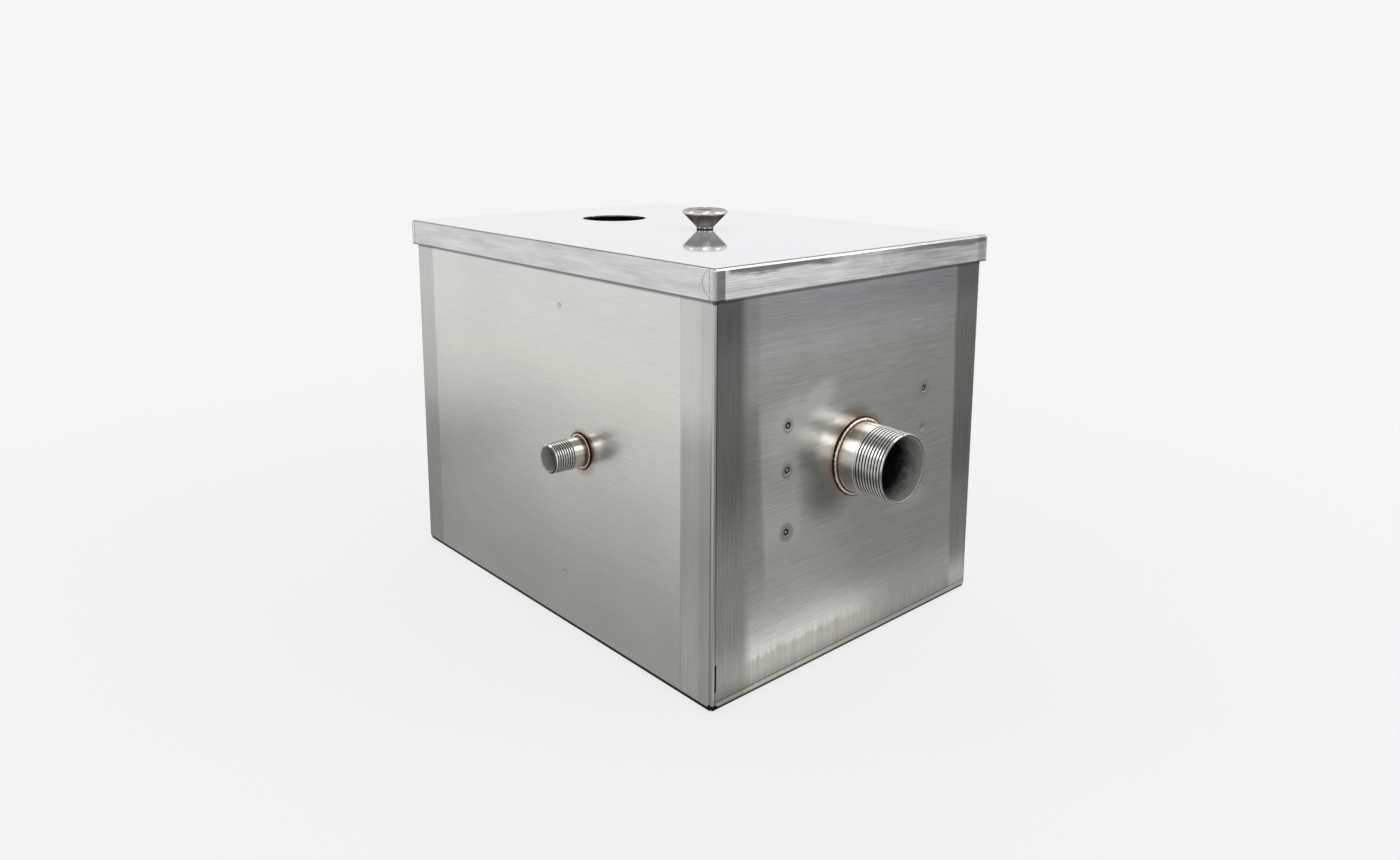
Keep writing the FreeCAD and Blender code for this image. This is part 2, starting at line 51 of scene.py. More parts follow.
class Wire:
    # an output socket, whose operators and methods each add nodes
    def __init__(self, graph, socket):
        self.graph = graph
        self.socket = socket

    def maths(self, operation, *others):
        return self.graph.maths(operation, self, *others)

    def __add__(self, other):
        return self.maths("ADD", other)

    __radd__ = __add__

    def __sub__(self, other):
        return self.maths("SUBTRACT", other)

    def __rsub__(self, other):
        return self.graph.maths("SUBTRACT", other, self)

    def __mul__(self, other):
        return self.maths("MULTIPLY", other)

    __rmul__ = __mul__

    def __truediv__(self, other):
        return self.maths("DIVIDE", other)

    def __rtruediv__(self, other):
        return self.graph.maths("DIVIDE", other, self)

    def __pow__(self, other):
        return self.maths("POWER", other)

    def __neg__(self):
        return self.maths("MULTIPLY", -1.0)

    def __abs__(self):
        return self.maths("ABSOLUTE")

    def clamp(self):
        return self.graph.add("ShaderNodeClamp", None, {"Value": self})[0]

    def smooth(self, low, high):
        # 0 at low and 1 at high, which may also be the smaller of the two
        limits = {"Value": self, "From Min": low, "From Max": high}
        return self.graph.add("ShaderNodeMapRange", {"interpolation_type": "SMOOTHSTEP"}, limits)["Result"]

    def rise(self, share, low, high):
        # the same up to a share
        return share * self.smooth(low, high)

    def steps(self, level, *rises):
        # a level that rises or falls by a share in each step
        for share, low, high in rises:
            level += share * self.smooth(low, high)
        return level

    def between(self, low, high, blur):
        return self.smooth(low - blur, low + blur) * self.smooth(high + blur, high - blur)

    def band(self, share, low, high, blur):
        # the same up to a share
        return share * self.between(low, high, blur)


class Made:
    # a node just added; its outputs are read by name, identifier or number
    def __init__(self, graph, node):
        self.graph = graph
        self.node = node

    def __getitem__(self, name):
        return Wire(self.graph, findSocket(self.node.outputs, name))


def findSocket(sockets, name):
    if isinstance(name, int):
        return sockets[name]
    for socket in sockets:
        if socket.identifier == name and socket.enabled:
            return socket
    for socket in sockets:
        if socket.name == name and socket.enabled:
            return socket
    raise KeyError(name)


class Graph:
    def __init__(self, tree, material=None):
        self.tree = tree
        self.material = material

    def add(self, kind, settings=None, inputs=None):
        # the settings go first, because they decide which sockets the node has
        node = self.tree.nodes.new(kind)
        for name, value in (settings or {}).items():
            setattr(node, name, value)
        for name, value in (inputs or {}).items():
            socket = findSocket(node.inputs, name)
            if isinstance(value, Wire):
                self.tree.links.new(value.socket, socket)
            else:
                socket.default_value = (*value, 1.0) if socket.type == "RGBA" else value
        return Made(self, node)

    def maths(self, operation, *values):
        return self.add("ShaderNodeMath", {"operation": operation}, dict(enumerate(values)))[0]

    def vector(self, operation, *values):
        output = 1 if operation in ("LENGTH", "DOT_PRODUCT") else 0
        return self.add("ShaderNodeVectorMath", {"operation": operation}, dict(enumerate(values)))[output]

    def scaled(self, vector, factor):
        return self.add("ShaderNodeVectorMath", {"operation": "SCALE"}, {0: vector, "Scale": factor})[0]

    def split(self, vector):
        parts = self.add("ShaderNodeSeparateXYZ", None, {0: vector})
        return parts[0], parts[1], parts[2]

    def join(self, x, y, z):
        return self.add("ShaderNodeCombineXYZ", None, {0: x, 1: y, 2: z})[0]

    def noise(self, point, stretch, detail=2.0, roughness=0.5):
        stretched = self.vector("MULTIPLY", point, stretch)
        inputs = {"Vector": stretched, "Scale": 1.0, "Detail": detail, "Roughness": roughness}
        return self.add("ShaderNodeTexNoise", {"noise_dimensions": "3D"}, inputs)[0]

    def grain(self, point, size, detail=2.0, roughness=0.5):
        # noise that looks the same in every direction
        return self.noise(point, (size, size, size), detail, roughness)

    def blend(self, factor, first, second, kind="MIX"):
        inputs = {"Factor_Float": factor, "A_Color": first, "B_Color": second}
        return self.add("ShaderNodeMix", {"data_type": "RGBA", "blend_type": kind}, inputs)["Result_Color"]

    def bump(self, height, distance, strength):
        inputs = {"Height": height, "Distance": distance, "Strength": strength}
        return self.add("ShaderNodeBump", None, inputs)[0]

    def pointInMm(self):
        # place on the piece
        return self.scaled(self.add("ShaderNodeTexCoord")["Object"], 1.0 / mm)

    def placeInMm(self):
        # place in the studio
        return self.split(self.scaled(self.add("ShaderNodeNewGeometry")["Position"], 1.0 / mm))


def diagonal(first, second):
    return (first * first + second * second) ** 0.5


def newMaterial(name):
    material = bpy.data.materials.new(name)
    material.use_nodes = True
    material.node_tree.nodes.clear()
    return Graph(material.node_tree, material)


def newSurface(name):
    graph = newMaterial(name)
    return graph, graph.pointInMm()


def closeMaterial(graph, colour, roughness, metallic=1.0, normal=None, extras=None):
    inputs = {"Base Color": colour, "Roughness": roughness, "Metallic": metallic}
    if normal is not None:
        inputs["Normal"] = normal
    inputs.update(extras or {})
    surface = graph.add("ShaderNodeBsdfPrincipled", None, inputs)
    graph.add("ShaderNodeOutputMaterial", None, {"Surface": surface[0]})
    return graph.material


def closeMixed(graph, factor, first, second):
    surface = graph.add("ShaderNodeMixShader", None, {0: factor, 1: first[0], 2: second[0]})
    graph.add("ShaderNodeOutputMaterial", None, {"Surface": surface[0]})
    return graph.material


# Lengths are in millimetres in the frame of the solids, and in metres for camera, lamps, sheets and bumps.
# A pair is where something starts and where it is full, for smooth. With a share before it, it is for rise,
# and a level with several such threes is for steps. Low, high and blur are for between, and with a share
# before them for band

# middles of the two pipes where they leave the wall, and the rows of plug welds as distance from the
# middle and heights
box = dict(
    halfLength=180.0, halfWidth=133.0,
    outlet=(180.0, 0.0, 135.0),
    drawOff=(46.0, -133.0, 134.0),
    hoodPlugs=(70.0, (100.0, 141.0, 170.0)),
    bafflePlugs=(24.0, (38.5, 232.0)),
)


# Studio: camera, world, floor, card and lamps

studio = dict(
    cameraPlace=(0.60527, -0.52737, 0.35901), cameraTurns=(0.1815, 79.985, 48.3794),
    cameraClip=(0.01, 100.0),
    focalPixels=1037.2,
    opticalCentre=(693.1, 300.0),
    pictureSize=(1400, 860),
    sensorWidth=36.0,
    backdrop=(0.92, 0.92, 0.925),
    overhead=(1.0, (-0.52, 0.25, 0.62)),
    ambient=(0.56, 0.56, 0.56),
    floor=(0.88, 0.88, 0.885), floorGlow=(0.80, (0.20, 25.0, 800.0)),
    floorSheet=(14.0, -0.0002),
    cardSheet=(4.2, -0.0001),
    lampTarget=(0.0, 0.0, 0.14), lampLevel=0.19,
)


def buildCamera():
    data = bpy.data.cameras.new("photoCamera")
    camera = bpy.data.objects.new("photoCamera", data)
    scene.collection.objects.link(camera)
    roll, tilt, turn = [math.radians(angle) for angle in studio["cameraTurns"]]
    rotation = Matrix.Rotation(turn, 4, "Z") @ Matrix.Rotation(tilt, 4, "X") @ Matrix.Rotation(roll, 4, "Z")
    camera.matrix_world = Matrix.Translation(studio["cameraPlace"]) @ rotation
    width, height = studio["pictureSize"]
    centreX, centreY = studio["opticalCentre"]
    data.sensor_width = studio["sensorWidth"]
    data.lens = studio["focalPixels"] / width * studio["sensorWidth"]
    data.shift_x = (width / 2.0 - centreX) / width
    data.shift_y = (centreY - height / 2.0) / width
    data.clip_start, data.clip_end = studio["cameraClip"]
    scene.camera = camera


def backdropShare(graph):
    # 1 for what the camera, metal and glass see of the background, 0 for light that falls on the object
    rays = graph.add("ShaderNodeLightPath")
    return (rays["Is Camera Ray"] + rays["Is Glossy Ray"] + rays["Is Transmission Ray"]).clamp()


def buildWorld():
    world = bpy.data.worlds.new("paleStudio")
    world.use_nodes = True
    world.node_tree.nodes.clear()
    graph = Graph(world.node_tree)
    x, y, z = graph.split(graph.add("ShaderNodeTexCoord")["Generated"])
    # the backdrop is pale all round and dims overhead
    backdrop = graph.scaled(studio["backdrop"], z.steps(*studio["overhead"]))
    colour = graph.blend(backdropShare(graph), studio["ambient"], backdrop)
    background = graph.add("ShaderNodeBackground", None, {"Color": colour, "Strength": 1.0})
    graph.add("ShaderNodeOutputWorld", None, {"Surface": background[0]})
    scene.world = world


def awayFromBox(x, y):
    beyondX = (abs(x) - box["halfLength"]).maths("MAXIMUM", 0.0)
    beyondY = (abs(y) - box["halfWidth"]).maths("MAXIMUM", 0.0)
    return diagonal(beyondX, beyondY)


def floorMaterial():
    graph = newMaterial("paleFloor")
    x, y, z = graph.placeInMm()
    matt = graph.add("ShaderNodeBsdfDiffuse", None, {"Color": studio["floor"]})
    backdrop = graph.add("ShaderNodeEmission", None, {"Color": studio["backdrop"], "Strength": 1.0})
    glow = awayFromBox(x, y).steps(*studio["floorGlow"])
    return closeMixed(graph, glow * backdropShare(graph), matt, backdrop)


# grey card round the box, whose tones the two visible walls mirror, by distance from the wall
sideCard = dict(
    tone=(0.38, (0.25, 25.0, 235.0), (0.27, 220.0, 450.0)),
    shadePlace=(-440.0, -318.0), shadeReach=(190.0, 120.0), shadeTurn=(0.8, 0.6),
    shade=(0.14, 1.0, 0.25),
    cornerX=(0.06, -120.0, -330.0), cornerAway=(260.0, 120.0),
)
endCard = dict(
    cameraPlace=(425.0, 527.0),
    base=0.255,
    near=(0.11, 4.0, -34.0), nearAway=(300.0, 140.0),
    strip=0.50, stripAway=((74.0, 32.0), (2.0, 22.0)), stripTone=(0.26, (0.74, 40.0, -15.0)),
    middle=(0.13, 330.0, 620.0), middleY=(75.0, -20.0),
    farDim=(0.05, 700.0, 900.0),
    beyond=(1080.0, 1270.0), beyondTone=(0.20, (0.30, 110.0, -80.0)),
)
card = dict(
    tint=(1.0, 0.998, 0.985),
    turn=(-20.0, 120.0),
    start=(-25.0, 0.0),
    sideEnd=(1500.0, 1050.0),
    endEnd=(3600.0, 2700.0),
)


def sideCardTone(x, y, fromSide):
    tone = fromSide.steps(*sideCard["tone"])
    placeX, placeY = sideCard["shadePlace"]
    reachX, reachY = sideCard["shadeReach"]
    turnX, turnY = sideCard["shadeTurn"]
    shadeX = ((x - placeX) * turnX + (y - placeY) * turnY) / reachX
    shadeY = ((y - placeY) * turnX - (x - placeX) * turnY) / reachY
    shade = diagonal(shadeX, shadeY).rise(*sideCard["shade"])
    corner = x.rise(*sideCard["cornerX"]) * fromSide.smooth(*sideCard["cornerAway"])
    return tone - shade - corner


def endCardTone(y, fromEnd):
    # wallY is the place on the wall that mirrors this point of the card to the camera
    away, aside = endCard["cameraPlace"]
    wallY = (y - fromEnd * (aside / away)) / (1.0 + fromEnd / away)
    inner, outer = endCard["stripAway"]
    strip = fromEnd.smooth(*inner) * fromEnd.smooth(*outer)
    strip *= wallY.steps(*endCard["stripTone"])
    near = wallY.rise(*endCard["near"]) * fromEnd.smooth(*endCard["nearAway"])
    middle = fromEnd.rise(*endCard["middle"]) * wallY.smooth(*endCard["middleY"])
    tone = endCard["base"] + near + endCard["strip"] * strip + middle - fromEnd.rise(*endCard["farDim"])
    # the lid's flange mirrors what lies beyond the wall's own reach
    beyond = fromEnd.smooth(*endCard["beyond"])
    return tone + beyond * wallY.steps(*endCard["beyondTone"])


def cardMaterial():
    graph = newMaterial("greyCard")
    x, y, z = graph.placeInMm()
    fromSide = -y - box["halfWidth"]
    fromEnd = x - box["halfLength"]
    endShare = (x + y).smooth(*card["turn"])
    sideTone = sideCardTone(x, y, fromSide)
    tone = sideTone * (1.0 - endShare) + endCardTone(y, fromEnd) * endShare
    cover = fromSide.smooth(*card["start"]).maths("MAXIMUM", fromEnd.smooth(*card["start"]))
    sideReach = fromSide.smooth(*card["sideEnd"]) * (1.0 - endShare)
    cover *= sideReach + endShare * awayFromBox(x, y).smooth(*card["endEnd"])
    clear = graph.add("ShaderNodeBsdfTransparent")
    glow = graph.add("ShaderNodeEmission", None, {"Color": graph.scaled(card["tint"], tone), "Strength": 1.0})
    return closeMixed(graph, cover, clear, glow)


def buildSheet(name, sizes, material):
    radius, height = sizes
    corners = [(-radius, -radius), (radius, -radius), (radius, radius), (-radius, radius)]
    mesh = bpy.data.meshes.new(name)
    mesh.from_pydata([(x, y, height) for x, y in corners], [], [(0, 1, 2, 3)])
    mesh.materials.append(material)
    sheet = bpy.data.objects.new(name, mesh)
    scene.collection.objects.link(sheet)
    return sheet


def buildFloor():
    buildSheet("studioFloor", studio["floorSheet"], floorMaterial())
    # the card is there for the metal alone
    sheet = buildSheet("greyCard", studio["cardSheet"], cardMaterial())
    sheet.visible_camera = False
    sheet.visible_diffuse = False
    sheet.visible_transmission = False
    sheet.visible_shadow = False


# name: azimuth and height in degrees, distance, width and height in metres, share of the light
lamps = dict(
    outletBox=(38.0, 37.0, 1.8, 0.85, 0.90, 24.0),
    cameraBox=(-42.0, 35.0, 1.8, 0.60, 0.80, 20.0),
    drawOffBox=(-134.0, 43.0, 1.8, 0.60, 0.65, 17.0),
    knobBox=(-6.0, 78.0, 1.8, 0.55, 0.55, 8.0),
    lowBox=(45.0, 9.0, 1.8, 0.20, 0.30, 4.5),
    edgeBox=(72.0, 32.0, 1.8, 0.60, 0.24, 3.0),
    backBox=(112.0, 56.0, 1.9, 1.20, 0.70, 18.0),
    sideBox=(160.0, 62.0, 1.9, 1.10, 0.70, 18.0),
)
# these two light the lid from behind, and would stand as hard white shapes in its mirror
unmirrored = ("backBox", "sideBox")


def buildLamps():
    target = Vector(studio["lampTarget"])
    for name, (azimuth, lift, distance, width, height, share) in lamps.items():
        data = bpy.data.lights.new(name, "AREA")
        data.shape = "RECTANGLE"
        data.size = width
        data.size_y = height
        data.energy = share * studio["lampLevel"]
        lamp = bpy.data.objects.new(name, data)
        lamp.visible_glossy = name not in unmirrored
        scene.collection.objects.link(lamp)
        turn, rise = math.radians(azimuth), math.radians(lift)
        way = Vector((math.cos(turn) * math.cos(rise), math.sin(turn) * math.cos(rise), math.sin(rise)))
        lamp.location = target + way * distance
        lamp.rotation_euler = way.to_track_quat("Z", "Y").to_euler()


scene.view_settings.view_transform = "Standard"
buildCamera()
buildWorld()
buildFloor()
buildLamps()
print("studio built")


# Sheet steel of the box

brushLines = dict(
    fine=(3.0, 0.6), fineScale=3.0, fineShare=0.55,
    coarse=(2.0, 0.55), coarseShare=0.45,
)


def brushing(graph, point, stretch):
    # fine and coarse lines, long where the stretch is small
    finer = tuple(along * brushLines["fineScale"] for along in stretch)
    fine = graph.noise(point, finer, *brushLines["fine"])
    coarse = graph.noise(point, stretch, *brushLines["coarse"])
    return fine * brushLines["fineShare"] + coarse * brushLines["coarseShare"]


# a spread is how far a tint reaches of its full reach: everywhere, more on the side of lean, by chance, and
# the least in millimetres
tintLook = dict(
    straw=(0.64, 0.47, 0.32), strawShare=0.5, strawReach=11.0, strawSpread=(0.5, 0.5, 0.8, 1.2),
    strawFade=1.3,
    scorched=(0.30, 0.19, 0.12), scorchShare=0.6, scorchSpread=(0.75, 0.5, 1.2, 0.4),
    burnt=(0.075, 0.042, 0.028), burntShare=0.92, burntRagged=1.2, burntFull=0.45,
    uneven=0.16, wobble=0.6,
)
outletTint = dict(beadEdge=26.3, lean=(0.0, -0.55, 0.83), scorch=4.6, burntWidth=1.3)
drawOffTint = dict(beadEdge=12.1, lean=(0.97, 0.0, -0.2), scorch=6.5, burntWidth=1.7)


def tintLeft(away, side, uneven, reach, spread):
    # 1 at the bead and 0 where the tint ends
    everywhere, sideShare, chance, least = spread
    end = reach * (everywhere + sideShare * side + chance * uneven)
    return (1.0 - away / end.maths("MAXIMUM", least)).clamp()


def heatTint(graph, point, colour, centre, tint):
    # a thin burnt line outside the bead and straw fading out, stronger on the side that lean points to
    offset = graph.vector("SUBTRACT", point, centre)
    away = graph.vector("LENGTH", offset) - tint["beadEdge"]
    side = graph.vector("DOT_PRODUCT", graph.vector("NORMALIZE", offset), tint["lean"])
    uneven = graph.grain(point, tintLook["uneven"]) - 0.5
    wobble = graph.grain(point, tintLook["wobble"]) - 0.5
    straw = tintLeft(away, side, uneven, tintLook["strawReach"], tintLook["strawSpread"])
    straw = straw ** tintLook["strawFade"] * tintLook["strawShare"]
    colour = graph.blend(straw, colour, tintLook["straw"])
    scorch = tintLeft(away, side, uneven, tint["scorch"], tintLook["scorchSpread"])
    colour = graph.blend(scorch * tintLook["scorchShare"], colour, tintLook["scorched"])
    burnt = away + wobble * tintLook["burntRagged"]
    burnt = burnt.smooth(tint["burntWidth"], tint["burntWidth"] * tintLook["burntFull"])
    return graph.blend(burnt * tintLook["burntShare"], colour, tintLook["burnt"])


plugs = dict(
    hoodRadius=3.0,
    baffleRadius=1.8,
    wander=13.0,
    ring=(0.20, 3.2, 0.4),
    arcEvery=3.3, arcEdge=(0.26, 0.1, 0.9), arcReach=(4.6, 1.4),
    fadedY=(0.75, -10.0, 10.0), fadedZ=(158.0, 152.0),
    hoodHalo=1.3,
    baffleHalo=0.35,
)


def fadedPlug(y, z):
    # the lower welds of the far row were ground away more than the others
    return 1.0 - y.rise(*plugs["fadedY"]) * z.smooth(*plugs["fadedZ"])


def nearestPlug(across, up, row):
    # millimetres to the middle of the nearest plug weld of a row
    centre, heights = row
    nearest = abs(up - heights[0])
    for height in heights[1:]:
        nearest = nearest.maths("MINIMUM", abs(up - height))
    return diagonal(across - centre, nearest)


def plugHalo(away, wander, radius):
    # grey ring and fine arcs that the grinder left round a plug weld
    uneven = away + wander * plugs["wander"]
    arcs = (uneven * plugs["arcEvery"]).maths("SINE").rise(*plugs["arcEdge"])
    arcs *= (away - radius).smooth(*plugs["arcReach"])
    return (uneven - radius).rise(*plugs["ring"]) + arcs


endWall = dict(
    strokes=((0.33, 0.33, 0.012), 3.0, 0.65),
    ragged=(5.0, 6.0),
    nearBand=(-98.0, -108.5), nearLean=0.022,
    # tones of the two ground bands by height, partly painted reflection
    nearTone=(0.35, (0.10, 235.0, 150.0), (0.22, 150.0, 85.0), (-0.17, 62.0, 36.0)),
    farBand=(109.5, 113.5), farLean=0.028, farTone=(0.48, (0.22, 122.0, 60.0), (0.75, 36.0, 8.0)),
    shadeRagged=0.4, shadeLean=0.06, shade=(0.26, -82.0, -87.0), shadeZ=((50.0, 95.0), (200.0, 180.0)),
    highShade=(0.14, -93.0, -99.0), highShadeZ=(190.0, 205.0),
    strokeDepth=(1.0, (-0.65, -10.0, 60.0)),
    footRagged=(12.0, 10.0), footLean=(-60.0, 10.0), footDrop=3.0, foot=(26.0, 21.5),
    footShade=(0.26, (-0.26, -30.0, 40.0)),
    lowStrokes=(0.45, 40.0, 18.0),
    cleanedY=(-95.0, -58.0, 4.0), cleanedZ=(92.0, 188.0, 10.0), cleanedRagged=(10.0, 12.0),
    cleaned=0.16,
    underLid=(1.0, (-0.34, 215.0, 249.0)),
    farHigh=(0.10, 20.0, 80.0), farHighZ=(180.0, 215.0),
)
# place, reach, lean and share of soft patches of painted reflection where the wall mirrors the pipe, mostly
# bright above the pipe and dark below it
endPaintedReflections = (
    ((-58.0, 168.0), (50.0, 32.0), 0.3, 0.42),
    ((-42.0, 182.0), (24.0, 13.0), 0.5, 0.34),
    ((-33.0, 118.0), (34.0, 27.0), -0.4, -0.52),
    ((-8.0, 161.0), (24.0, 15.0), 0.0, -0.45),
    ((58.0, 91.0), (34.0, 14.0), 0.0, 0.20),
)


def endBands(y, z, ragged):
    # ground bands along the upright corners of the outlet end, whose tone is partly painted reflection,
    # darker high up and lighter low down, with the painted shade beside the near one
    near = (y - ragged + z * endWall["nearLean"]).smooth(*endWall["nearBand"])
    far = (y + ragged + z * endWall["farLean"]).smooth(*endWall["farBand"])
    nearTone, farTone = z.steps(*endWall["nearTone"]), z.steps(*endWall["farTone"])
    tone = 1.0 - near * (1.0 - nearTone) - far * (1.0 - farTone)
    shade = y + ragged * endWall["shadeRagged"] + z * endWall["shadeLean"]
    shade = shade.rise(*endWall["shade"]) * (1.0 - near)
    low, high = endWall["shadeZ"]
    tone *= 1.0 - shade * z.smooth(*low) * z.smooth(*high)
    highShade = y.rise(*endWall["highShade"]) * (1.0 - near) * z.smooth(*endWall["highShadeZ"])
    return tone * (1.0 - highShade), near + far


def endTones(graph, point, y, z, upright, wander):
    # the bands, the ground foot, and patches of painted highlight, shade and reflection on the outlet end,
    # and where it was ground upright
    coarse, fine = endWall["ragged"]
    tone, bands = endBands(y, z, wander * coarse + (upright - 0.5) * fine)
    strokes = (graph.noise(point, *endWall["strokes"]) - 0.5) * y.steps(*endWall["strokeDepth"])
    coarse, fine = endWall["footRagged"]
    footZ = z + strokes * coarse + wander * fine + y.smooth(*endWall["footLean"]) * endWall["footDrop"]
    foot = footZ.smooth(*endWall["foot"]) * (1.0 - bands)
    tone *= 1.0 - foot * y.steps(*endWall["footShade"])
    tone *= 1.0 + strokes * z.rise(*endWall["lowStrokes"]) * (1.0 - bands)
    # painted highlight: a lighter patch on the near side of the pipe
    raggedY, raggedZ = endWall["cleanedRagged"]
    cleaned = (y + wander * raggedY).between(*endWall["cleanedY"])
    cleaned *= (z + wander * raggedZ).between(*endWall["cleanedZ"])
    # painted shade: the wall darkens towards its top, under the lid
    tone = tone * (1.0 + endWall["cleaned"] * cleaned) * z.steps(*endWall["underLid"])
    # painted shade high up on the far part of the wall
    tone *= 1.0 - y.rise(*endWall["farHigh"]) * z.smooth(*endWall["farHighZ"])
    # painted reflections, lighter and darker
    for centre, reach, lean, share in endPaintedReflections:
        tone *= 1.0 + share * spot(y, z, centre, reach, lean)
    return tone, (bands + foot).clamp()


def spot(y, z, centre, reach, lean):
    # 1 in the middle of a soft leaning patch and 0 at its rim
    up, across = z - centre[1], y - centre[0]
    first = (across * math.cos(lean) + up * math.sin(lean)) / reach[0]
    second = (up * math.cos(lean) - across * math.sin(lean)) / reach[1]
    return diagonal(first, second).smooth(1.0, 0.15)


sideWall = dict(
    ragged=2.0,
    rightBand=(150.0, 151.0), rightTone=(0.89, (-0.24, 195.0, 160.0), (0.38, 110.0, 25.0)),
    rightEdge=(1.0, (-0.12, 165.0, 170.0)),
    leftBand=(-154.6, -155.6), leftShade=0.2, leftMark=(0.1, 92.0, 128.0, 12.0),
    bandLine=(0.14, 149.8, 150.8, 0.3),
)


def sideTones(x, z, wander):
    # ground bands along the upright corners of the two side walls
    right = (x + wander * sideWall["ragged"]).smooth(*sideWall["rightBand"])
    left = (x + wander * sideWall["ragged"]).smooth(*sideWall["leftBand"])
    rightTone = z.steps(*sideWall["rightTone"]) * x.steps(*sideWall["rightEdge"])
    leftShade = sideWall["leftShade"] + z.band(*sideWall["leftMark"])
    tone = 1.0 - right * (1.0 - rightTone) - left * leftShade
    return tone * (1.0 - x.band(*sideWall["bandLine"])), (right + left).clamp()


seam = dict(
    sideJoint=(176.9, 178.1, 0.35), sideFace=(-132.3, -132.7),
    endJoint=(-131.6, -130.2, 0.4), endFace=(179.3, 179.7),
    depth=(0.45, 0.9),
    sideFade=(215.0, 120.0),
    slitZ=(0.97, 13.0, 31.0, 0.6), slitFace=(178.5, 178.9), slitY=(-132.1, -129.7, 0.1),
)


def cornerTones(x, y, z, upright):
    # dark joints on both sides of the near corner's seam, and painted shade in the open slit low down in it
    sideJoint = x.between(*seam["sideJoint"]) * y.smooth(*seam["sideFace"])
    endJoint = y.between(*seam["endJoint"]) * x.smooth(*seam["endFace"])
    middle, spread = seam["depth"]
    depth = middle + spread * (upright - 0.5)
    tone = (1.0 - sideJoint * depth * z.smooth(*seam["sideFade"])) * (1.0 - endJoint * depth)
    slitShade = z.band(*seam["slitZ"]) * x.smooth(*seam["slitFace"]) * y.between(*seam["slitY"])
    return tone * (1.0 - slitShade)


wallSteel = dict(
    colour=(0.702, 0.71, 0.672),
    roughness=0.24, roughLines=0.08, roughGround=0.05, roughCloud=0.03,
    facing=(0.5, 0.3),
    outsideX=(176.6, 177.4), outsideY=(130.6, 131.4),
    longLines=((0.008, 0.008, 0.85), 2.0), longShare=0.3,
    shortLines=((0.045, 0.045, 1.9), 3.0, 0.6), shortShare=0.7,
    uprightLines=(0.9, 0.9, 0.012), uprightShare=1.7,
    wander=(0.03, 0.03, 0.02),
    cloud=((0.011, 0.011, 0.016), 3.0), cloudShare=0.20,
    lineDepth=(0.34, 0.38),
    lidDirt=(0.55, 253.8, 257.6, 0.6),
    cornerLift=(2.4, 307.5, 311.0),
    foot=(0.97, 3.0, 2.2),
    bend=(3.2, 5.4, 0.5), bendLight=(0.75, (0.3, 90.0, 125.0)), bendLine=(0.35, 6.0, 7.0, 0.6),
    warm=(0.8, 26.0, 16.0), warmTint=(1.03, 1.0, 0.97),
    cool=(190.0, 250.0), coolOnSide=0.3, coolTint=(0.99, 0.99, 1.09),
    bump=(0.00004, 0.6),
)


def wallFoot(tone, x, y, z, onEnd):
    outside = abs(x).smooth(*wallSteel["outsideX"])
    outside = outside.maths("MAXIMUM", abs(y).smooth(*wallSteel["outsideY"]))
    # painted shadow: a thin dark line where the lid's lower edge ends
    tone *= 1.0 - outside * z.band(*wallSteel["lidDirt"])
    # painted contact shadow where the wall meets the floor, with a painted highlight on the bend above it
    # on the folded end
    foot = (z - (x - y).rise(*wallSteel["cornerLift"])).rise(*wallSteel["foot"])
    tone *= 1.0 - outside * foot
    tone *= 1.0 + y.steps(*wallSteel["bendLight"]) * onEnd * z.between(*wallSteel["bend"])
    return tone * (1.0 - onEnd * z.band(*wallSteel["bendLine"]))


def boxSteel():
    graph, point = newSurface("brushedBoxSteel")
    x, y, z = graph.split(point)
    start, full = wallSteel["facing"]
    onEnd = x.smooth(box["halfLength"] - start, box["halfLength"] - full)
    onSide = abs(y).smooth(box["halfWidth"] - start, box["halfWidth"] - full) * (1.0 - onEnd)
    level = graph.noise(point, *wallSteel["longLines"]) * wallSteel["longShare"]
    level += graph.noise(point, *wallSteel["shortLines"]) * wallSteel["shortShare"]
    upright = brushing(graph, point, wallSteel["uprightLines"])
    wander = graph.noise(point, wallSteel["wander"]) - 0.5
    cloud = graph.noise(point, *wallSteel["cloud"]) - 0.5

    endTone, endGround = endTones(graph, point, y, z, upright, wander)
    sideTone, sideGround = sideTones(x, z, wander)
    ground = onEnd * endGround + onSide * sideGround
    tone = 1.0 + onEnd * (endTone - 1.0) + onSide * (sideTone - 1.0)

    halo = plugHalo(nearestPlug(abs(y), z, box["hoodPlugs"]), wander, plugs["hoodRadius"])
    halo = plugs["hoodHalo"] * halo * fadedPlug(y, z) * (0.5 + upright)
    dimple = plugHalo(nearestPlug(x, z, box["bafflePlugs"]), wander, plugs["baffleRadius"])
    tone *= 1.0 - onEnd * halo - plugs["baffleHalo"] * onSide * dimple
    tone *= cornerTones(x, y, z, upright)
    tone = wallFoot(tone, x, y, z, onEnd)

    lines = level * (1.0 - ground) + (0.5 + wallSteel["uprightShare"] * (upright - 0.5)) * ground
    everywhere, moreOnEnd = wallSteel["lineDepth"]
    depth = everywhere + moreOnEnd * onEnd
    tone = tone * (1.0 + (lines - 0.5) * depth) * (1.0 + wallSteel["cloudShare"] * cloud)
    colour = graph.scaled(wallSteel["colour"], tone)
    warm = onEnd * z.rise(*wallSteel["warm"])
    colour = graph.blend(warm, colour, wallSteel["warmTint"], "MULTIPLY")
    cool = z.smooth(*wallSteel["cool"]) * (onEnd + wallSteel["coolOnSide"] * onSide)
    colour = graph.blend(cool, colour, wallSteel["coolTint"], "MULTIPLY")
    colour = heatTint(graph, point, colour, box["outlet"], outletTint)
    colour = heatTint(graph, point, colour, box["drawOff"], drawOffTint)
    roughness = wallSteel["roughness"] + wallSteel["roughLines"] * (lines - 0.5)
    roughness = roughness + wallSteel["roughGround"] * ground + wallSteel["roughCloud"] * cloud
    return closeMaterial(graph, colour, roughness, 1.0, graph.bump(lines, *wallSteel["bump"]))


